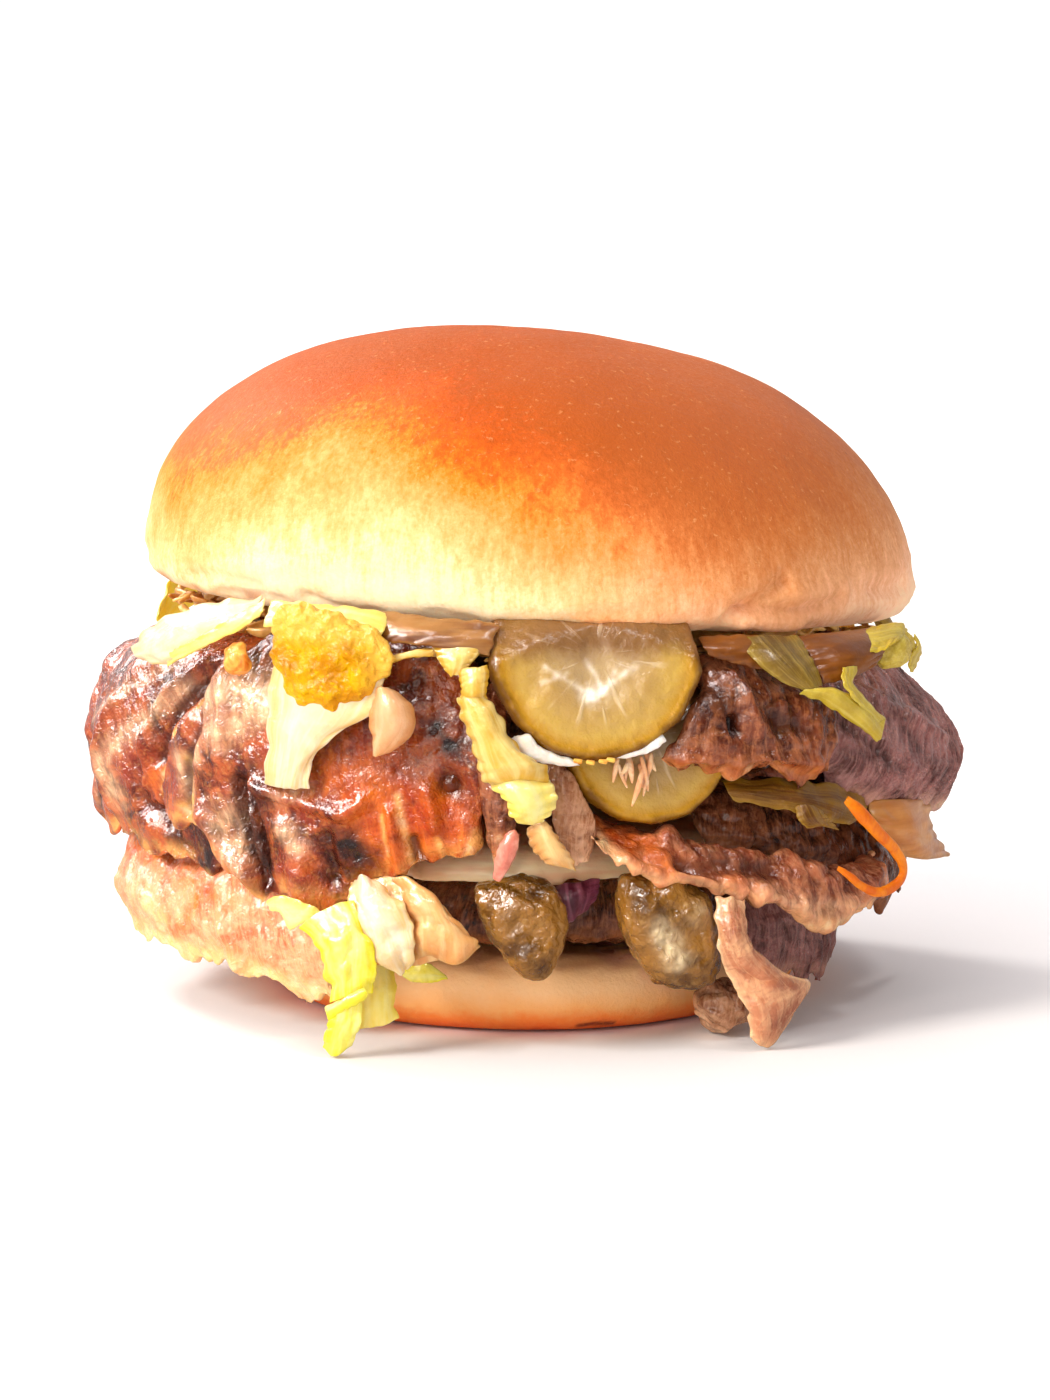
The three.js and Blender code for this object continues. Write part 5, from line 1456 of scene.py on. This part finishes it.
    sheet(
        "yellow_leaf", YELLOW, "lettuce", [
            [
                [-30.1, 63, 17.6], [-27.8, 64, 16.1], [-26.5, 64.4, 13.8], [-25.7, 64.4, 11],
                [-25.4, 64, 8.1],
            ],
            [
                [-27.5, 63.4, 19.9], [-24.5, 65, 17.5], [-23.6, 65.2, 14.9], [-23.5, 65, 12.1],
                [-23.9, 64.4, 8.7],
            ],
            [[-25.1, 62.6, 21.2], [-22.6, 64.4, 19], [-22.1, 64.4, 16.2], [-22.3, 64.6, 13.1],
             [-22.5, 64.2, 9.1]],
            [
                [-23.4, 61.8, 21.8], [-21.6, 63, 18.1], [-19.8, 63.4, 15], [-19.8, 63.2, 12],
                [-20.3, 63, 9.4],
            ],
        ], "lettuce_yellow",
        frill=0.5, frills=3, crumple=1.1, seed=63,
    )
    sheet(
        "yellow_knot", YELLOW, "lettuce", [
            [[-26.3, 64, 7], [-23.8, 64.8, 8.5], [-22.2, 64.8, 9.3], [-20.9, 64.2, 10.3]],
            [[-25.5, 65, 6.4], [-23.3, 65.8, 7.9], [-21.8, 65.6, 9], [-20.3, 65, 10]],
            [[-25.6, 64, 5.4], [-23.6, 64.8, 6.7], [-22.1, 64.6, 7.9], [-20.6, 64, 9.1]],
        ], "lettuce_yellow",
        thick=0.8, frill=0.1, crumple=0.3, seed=64,
    )
    sheet(
        "yellow_flap", YELLOW, "lettuce", [
            [[-24.8, 64, 6.6], [-25.8, 64.2, 4], [-27.1, 63.6, 1.2]],
            [[-23, 64.8, 7.5], [-23.5, 65, 4.4], [-24.9, 63.8, 0.5]],
            [[-21.4, 64, 8.3], [-21.6, 64, 4.7], [-23.1, 63.2, 1.6]],
        ], "lettuce_yellow",
        frill=0.3, frills=2, crumple=0.8, seed=65,
    )
    sheet(
        "backing_leaf", CREAM, "cabbage", [
            [[-25, 58.6, 23.5], [-24.9, 59.4, 20.7], [-23.3, 59.6, 16.7], [-21.6, 59, 12.9]],
            [[-18.1, 58, 24.7], [-17, 59.6, 21.3], [-16.4, 60, 17.2], [-16.1, 59, 13]],
            [[-14.7, 58, 23.2], [-11.2, 59, 20.5], [-9, 59, 17.2], [-7.8, 58.4, 15.2]],
        ], "cabbage_cream",
        thick=0.9, frill=0.4, crumple=0.9, seed=66,
    )
    sheet(
        "low_leaf", GOLD, "cabbage", [
            [[-25.3, 58, 13], [-23.8, 60, 9.7], [-23.1, 60.6, 7.1], [-23, 60.8, 4]],
            [[-22.1, 57, 13.9], [-20.8, 59.4, 9.8], [-20.5, 60, 7.2], [-20.3, 60.2, 4.4]],
            [[-21, 54, 11.8], [-19.2, 57, 9.5], [-19.1, 58, 7.2], [-18.4, 58.4, 5.2]],
        ], "cabbage_low",
        frill=0.1, frills=2, crumple=0.3, seed=67,
    )
    sheet(
        "white_leaf", CABBAGE, "cabbage", [
            [[-24.3, 60, 24.3], [-24.1, 61.6, 21.4], [-22.3, 62, 17.9], [-20.5, 61.6, 14.7], [-18, 61, 13]],
            [
                [-21.8, 61, 25.2], [-20.7, 63, 21.6], [-19, 63.4, 18.4], [-17.9, 62.8, 15.3],
                [-16.9, 61, 11.9],
            ],
            [
                [-19.1, 60, 23.3], [-16.5, 61.6, 21.7], [-15.4, 62, 19], [-15.2, 61.4, 15.5],
                [-16.2, 60.6, 12.6],
            ],
        ], "cabbage_white",
        thick=0.8, frill=0.5, frills=3, crumple=1.0, seed=68,
    )
    sheet(
        "cream_leaf", CREAM, "cabbage", [
            [[-19, 58, 24.4], [-17.2, 60, 21.3], [-15.6, 60.6, 18.1], [-16, 59.6, 13.5]],
            [[-16.8, 59, 25.1], [-13.6, 61.2, 21.7], [-12.7, 61.6, 18.4], [-13.1, 60, 14.7]],
            [[-16, 58.8, 24.1], [-11.8, 61, 21.1], [-9.9, 61.4, 17.8], [-9.9, 60, 13.5]],
            [[-15.2, 58.4, 22.8], [-10.7, 60, 20.1], [-7.5, 60, 17.3], [-6.9, 59.4, 16.1]],
        ], "cabbage_cream",
        thick=0.8, frill=0.4, frills=3, crumple=0.8, seed=69,
    )
    sheet(
        "green_bit", YELLOW, "green_leaf", [
            [[-21.5, 49.4, 9.5], [-18.5, 49.8, 11.3], [-16.8, 49.8, 11.1], [-14, 49.4, 9.6]],
            [[-21.2, 49.6, 9.2], [-18.6, 50.4, 8.8], [-16.4, 50.2, 8.8], [-13.9, 49.6, 9.3]],
        ], "lettuce_bit",
        frill=0.1, crumple=0.2, seed=70,
    )
    sheet(
        "clear_bit", GOLD, "cabbage", [
            [
                [-36.4, 61.6, 20.4], [-34.1, 62, 21.5], [-31.6, 62.2, 21.2], [-29.5, 62, 20.6],
                [-28.2, 61.6, 19.5],
            ],
            [[-36.1, 61.6, 19.4], [-34, 62.2, 19.3], [-32.4, 62.2, 17.2], [-30.4, 62.2, 18.3],
             [-29.1, 61.6, 18.9]],
        ], "cabbage_clear",
        frill=0.1, crumple=0.2, seed=71,
    )
    sheet(
        "purple_bit", PURPLE, "purple_cabbage", [
            [[1.4, 52, 22], [2.5, 52.6, 20.6], [5.3, 52, 17.4]],
            [[5.8, 52.8, 23.4], [5.9, 54.4, 21.5], [6.4, 52.8, 18.6]],
            [[10.3, 52, 23.9], [9.9, 52.8, 22.2], [8.3, 52, 19.3]],
        ], "cabbage_purple",
        thick=0.9, frill=0.1, crumple=0.6, seed=72,
    )
    sheet(
        "strand", STRAND, "brown_meat", [
            [[25, 60, 21.8], [24.7, 61.6, 18.3], [24.9, 62, 14.2], [27, 62, 9.4], [29.1, 62, 5.8],
             [29.6, 61.4, 2.1]],
            [[26.4, 61, 21.8], [25.8, 63, 18.4], [26.8, 63.4, 14.2], [30.4, 63.6, 9.7], [31.9, 63, 5.2],
             [32.2, 61.4, 0.5]],
            [[29, 60.4, 21.2], [28, 62, 18.8], [29.1, 62.4, 14.5], [34.6, 62.6, 10.3], [38.6, 62, 8.7],
             [35.4, 61.4, 3.6]],
        ], "meat_strand",
        thick=1.6, frill=0.2, crumple=0.8, ragged=0.6, seed=73,
    )
    sheet(
        "tongue", TONGUE, "brown_meat", [
            [[-3, 61.8, 31.9], [-4.2, 62, 29.4], [-4.8, 61.4, 26]],
            [[-2.3, 62.6, 32.4], [-3.2, 63, 29.5], [-4.2, 61.6, 25.4]],
            [[-1.7, 61.8, 31.9], [-2, 62, 29.5], [-3.6, 61.4, 26.1]],
        ], "meat_strip_mid",
        thick=1.2, frill=0.1, crumple=0.2, seed=74,
    )
    sheet(
        "sauce_left", SAUCE, "cabbage", [
            [[-2.2, 61.4, 45.1], [-0.5, 61.6, 45.3], [1.1, 61.4, 43.6], [3.6, 61, 42.3], [5.7, 60.6, 41.5]],
            [
                [-2.4, 61.4, 44.7], [-1.2, 61.8, 43.3], [0.8, 61.6, 41.9], [3.1, 61.2, 41.4],
                [5.9, 60.6, 41.1],
            ],
        ],
        thick=1.1, frill=0.1, crumple=0.3, seed=75,
    )
    sheet(
        "sauce_right", SAUCE, "cabbage", [
            [[11.1, 60.6, 42.5], [13.3, 61, 43.3], [15.2, 61.2, 44.1], [16.8, 61.2, 45]],
            [[11.1, 60.6, 42.1], [13.4, 61.2, 42.4], [15.6, 61.4, 43.1], [17.1, 61.2, 44.2]],
        ],
        thick=0.9, frill=0.1, crumple=0.3, seed=76,
    )
    strip(
        "carrot_ribbon", CARROT, "carrot", CARROT_SPINE,
        [1.2, 2.2, 1.9, 1.7, 1.6, 1.6, 1.5, 1.3, 1.1, 0.9, 0.6], "carrot_shred",
        cup=0.1, thick=1.0, frill=0, crumple=0.15, ragged=0.1, torn=0.1, cols=80, rows=6, seed=90,
    )
    strip(
        "back_rope", LETTUCE, "lettuce",
        [[132, 59, 55.4], [131, 62.8, 52], [128.6, 63.6, 46], [130.4, 63.6, 40.6], [133, 63, 35.6]],
        [4.6, 6, 7.4, 6, 2.4], "lettuce_back_rope", cup=0.3, seed=91,
    )
    strip(
        "back_leaf", CABBAGE, "cabbage", [
            [-168, 58.6, 56.4], [-166, 62.6, 53.6], [-164, 63.6, 49], [-162.6, 63.4, 44.6],
        ],
        [7, 9, 8, 4], "cabbage_back", seed=92, cup=0.2,
    )
    strip(
        "back_low_leaf", CABBAGE, "cabbage", [
            [177, 54, 24], [176, 58.6, 20.6], [175, 60, 15.6], [176, 59.6, 10.6],
        ],
        [7, 9, 7.4, 3], "cabbage_back_low", seed=93, cup=0.2,
    )
    strip(
        "side_leaf", GOLD, "cabbage", [
            [-126, 55, 59], [-121, 59.6, 57.8], [-116, 61.4, 55.4], [-112, 62, 51.6],
        ],
        [4.4, 6.4, 6.6, 3], "cabbage_side", seed=94, cup=0.2,
    )
    strip(
        "right_leaf", GREEN, "green_leaf", [
            [112, 54.6, 54.4], [113, 59, 51.6], [114.6, 61.6, 46.4], [114, 62, 41],
        ],
        [4.4, 6, 5, 2], "lettuce_right", seed=95, cup=0.25,
    )
    soft("lettuce_bead", "green_bead", FRESH_GREEN, "green_leaf", 300, voxel=0.35, smoothing=2, coarse=0.15)


# ---- Small things in numbers ----
def swept(knots, width, height, steps=8, sides=8, twist=0.0):
    """Corners and faces of a strand along a curve, with a flat oval section, closed at its ends."""
    t = np.linspace(0, 1, steps)
    middle = curve_through(knots, t)
    way = unit(np.gradient(middle, axis=0))
    out = unit(middle * [1, 1, 0])
    side = unit(np.cross(way, out))
    face = np.cross(side, way)
    w, h = spread(width, t)[:, None] / 2, spread(height, t)[:, None] / 2
    angle = np.linspace(0, 2 * np.pi, sides, endpoint=False)
    turn = twist * t[:, None]
    x, y = w * np.cos(angle), h * np.sin(angle)
    x, y = x * np.cos(turn) - y * np.sin(turn), x * np.sin(turn) + y * np.cos(turn)
    ring = middle[:, None] + side[:, None] * x[..., None] + face[:, None] * y[..., None]
    faces = []
    for i in range(steps - 1):
        for k in range(sides):
            a, b = i * sides + k, i * sides + (k + 1) % sides
            faces.append((a, b, b + sides, a + sides))
    faces.append(tuple(range(sides))[::-1])
    faces.append(tuple(range((steps - 1) * sides, steps * sides)))
    return ring.reshape(-1, 3), faces


def gathered(name, shapes, material, slot, *stands_for):
    """Many small shapes as one piece."""
    corners, faces, start = [], [], 0
    for at, polygons in shapes:
        corners.append(at)
        faces += [tuple(start + i for i in polygon) for polygon in polygons]
        start += len(at)
    mesh = bpy.data.meshes.new(name)
    mesh.from_pydata((np.vstack(corners) * MM).tolist(), [], faces)
    piece = new_piece(name, mesh)
    bpy.ops.object.mode_set(mode="EDIT")
    bpy.ops.mesh.select_all(action="SELECT")
    bpy.ops.mesh.normals_make_consistent(inside=False)
    bpy.ops.object.mode_set(mode="OBJECT")
    divided(piece, 1)
    return served(piece, material, slot, *stands_for)


def shreds():
    """Shredded cabbage under the crown, over a smaller core."""
    core = copy_of("cabbage_bed", "cabbage_core")
    rounded(core, 1.0, 3, 0)
    at = points(core)
    bearing, radius, height = around(at)
    inner = polar(bearing, radius * 0.9, height)
    place(core, inner + outward(core) * (0.3 * lumps(at, 3, 310, 2))[:, None])
    served(core, SHRED, "cabbage", "cabbage_bed")
    rng = random.Random(11)
    shapes = []
    for _ in range(SHREDS):
        bearing = rng.uniform(-180, 180)
        radius = rng.uniform(40, 54)
        height = rng.uniform(54.6, 57.4) - 0.05 * radius * math.sin(math.radians(bearing)) * 0.9
        span = rng.uniform(4, 13) * rng.choice((-1, 1))
        knots = [
            polar(bearing + span * k / 3, radius + rng.uniform(-2.4, 2.4), height + rng.uniform(-0.8, 0.8))
            for k in range(4)
        ]
        width = rng.uniform(1.2, 2.8)
        deep, twist = rng.uniform(0.6, 1.0), rng.uniform(-2, 2)
        shapes.append(swept(knots, [0.5, width, width, 0.6], deep, 7, 6, twist))
    gathered("cabbage_shreds", shapes, SHRED, "cabbage", "cabbage_bed")


def threads():
    """Torn strands of meat in a bundle below the front pickle."""
    rng = random.Random(5)
    shapes = []
    for _ in range(THREADS):
        bearing = rng.uniform(11.5, 16.5)
        top = rng.uniform(40.5, 42.5)
        drop = rng.uniform(2.5, 6)
        drift = rng.uniform(-1.5, 1.5)
        knots = [
            polar(bearing + drift * k / 2, 58.4 + rng.uniform(-0.4, 0.8), top - drop * k / 2)
            for k in range(3)
        ]
        width = rng.uniform(0.7, 1.3)
        shapes.append(swept(knots, [0.6 * width, width, 0.3], [0.6 * width, width, 0.3], 6, 6))
    gathered("meat_bundle", shapes, THREAD, "brown_meat")


def sauce():
    """Seeds caught in the white sauce under the front pickle."""
    seeds = [
        swept([polar(b, 61.6, z), polar(b + 1.2, 61.8, z - 0.2)], [0.7, 0.9], [0.8, 0.8], 4, 6)
        for b, z in ((5.2, 41.9), (6.8, 41.7), (8.4, 41.8), (9.4, 42.0))
    ]
    gathered("pickle_seeds", seeds, CRISP, "relish")


# ---- Floor, light and camera ----
CAMERA_PLACE = (-0.9 * MM, -600 * MM, 120 * MM)
CAMERA_DOWN = math.radians(7.39)
FOCAL_PIXELS = 4027  # focal length, in pixels of the 1400 pixel high picture
PICTURE_HEIGHT = 1400
SENSOR = 36
# Soft windows that only wet things mirror: azimuth, elevation, half width in degrees, brightness.
WINDOWS = [(-76, 38, 15, 34.0), (-124, 30, 12, 20.0), (-24, 58, 9, 20.0), (44, 60, 9, 8.0)]


def far_off(azimuth, elevation):
    """The way to a far place: azimuth from the front towards +X and elevation, in degrees."""
    return Vector(polar(azimuth, math.cos(math.radians(elevation)), math.sin(math.radians(elevation))))


def studio():
    bpy.ops.object.select_all(action="DESELECT")
    bpy.ops.mesh.primitive_plane_add(size=8)
    floor = bpy.context.object
    floor.name = "studio_floor"
    material, tree, shader = fresh("pale_floor", Roughness=0.9, Specular_IOR_Level=0.1)
    seen = put(tree, "LightPath").outputs["Is Glossy Ray"]
    pale = blend(tree, seen, (0.93, 0.92, 0.93, 1), (0.3, 0.28, 0.28, 1))
    tree.links.new(pale, shader.inputs["Base Color"])
    floor.data.materials.append(material)

    world = bpy.data.worlds.new("white_studio")
    scene.world = world
    world.use_nodes = True
    tree = world.node_tree
    sky = tree.nodes["Background"]
    sight = put(tree, "TexCoord").outputs["Generated"]
    side = put(tree, "SeparateXYZ", {0: sight}).outputs
    left = level(tree, side[0], -0.9, 0.3, 1.0, 0.0)
    behind = level(tree, side[1], -0.1, 0.9)
    above = level(tree, side[2], 0.2, 1.0)

    def shares(start, from_left, from_behind, from_above):
        total = plus(tree, start, times(tree, left, from_left))
        total = plus(tree, total, times(tree, behind, from_behind))
        return plus(tree, total, times(tree, above, from_above))

    soft_light = shares(0.34, 0.5, 0.4, 0.3)
    mirrored = shares(0.03, 0.35, 0.5, 0.15)
    for azimuth, elevation, wide, bright in WINDOWS:
        towards = {0: sight, 1: far_off(azimuth, elevation)}
        aligned = put(tree, "VectorMath", towards, operation="DOT_PRODUCT").outputs["Value"]
        outer, inner = math.cos(math.radians(wide)), math.cos(math.radians(0.7 * wide))
        mirrored = plus(tree, mirrored, level(tree, aligned, outer, inner, 0.0, bright))
    path = put(tree, "LightPath").outputs
    glossy = path["Is Glossy Ray"]
    diffuse = sums(tree, "SUBTRACT", 1.0, glossy)
    grey = plus(tree, times(tree, soft_light, diffuse), times(tree, mirrored, glossy))
    even = put(tree, "CombineColor", {0: grey, 1: grey, 2: grey}).outputs[0]
    glow = blend(tree, 1.0, even, (1.0, 0.95, 0.96, 1), "MULTIPLY")
    tree.links.new(blend(tree, path["Is Camera Ray"], glow, (1.05, 1.05, 1.05, 1)), sky.inputs["Color"])

    def sun(name, strength, soft, azimuth, elevation, colour):
        """A broad lamp far off."""
        data = bpy.data.lights.new(name, "SUN")
        data.energy = strength
        data.angle = math.radians(soft)
        data.color = colour
        lamp = bpy.data.objects.new(name, data)
        scene.collection.objects.link(lamp)
        lamp.rotation_mode = "QUATERNION"
        lamp.rotation_quaternion = far_off(azimuth, elevation).to_track_quat("Z", "Y")

    sun("key_left", 2.4, 22, -54, 34, (1.0, 0.95, 0.86))
    sun("low_left", 1.1, 50, -28, 14, (1.0, 0.93, 0.84))
    sun("back_left", 1.3, 12, -140, 42, (1.0, 0.97, 0.92))
    sun("top_right", 0.35, 6, 40, 62, (1.0, 0.98, 0.95))

    data = bpy.data.cameras.new("photo_camera")
    data.lens = SENSOR * FOCAL_PIXELS / PICTURE_HEIGHT
    data.sensor_width = SENSOR
    camera = bpy.data.objects.new("photo_camera", data)
    camera.location = CAMERA_PLACE
    camera.rotation_euler = (math.pi / 2 - CAMERA_DOWN, 0, 0)
    scene.collection.objects.link(camera)
    scene.camera = camera
    scene.view_settings.view_transform = "Standard"


studio()
crown()
heel()
meats()
pickles()
relish()
rounds()
leaves()
shreds()
threads()
sauce()
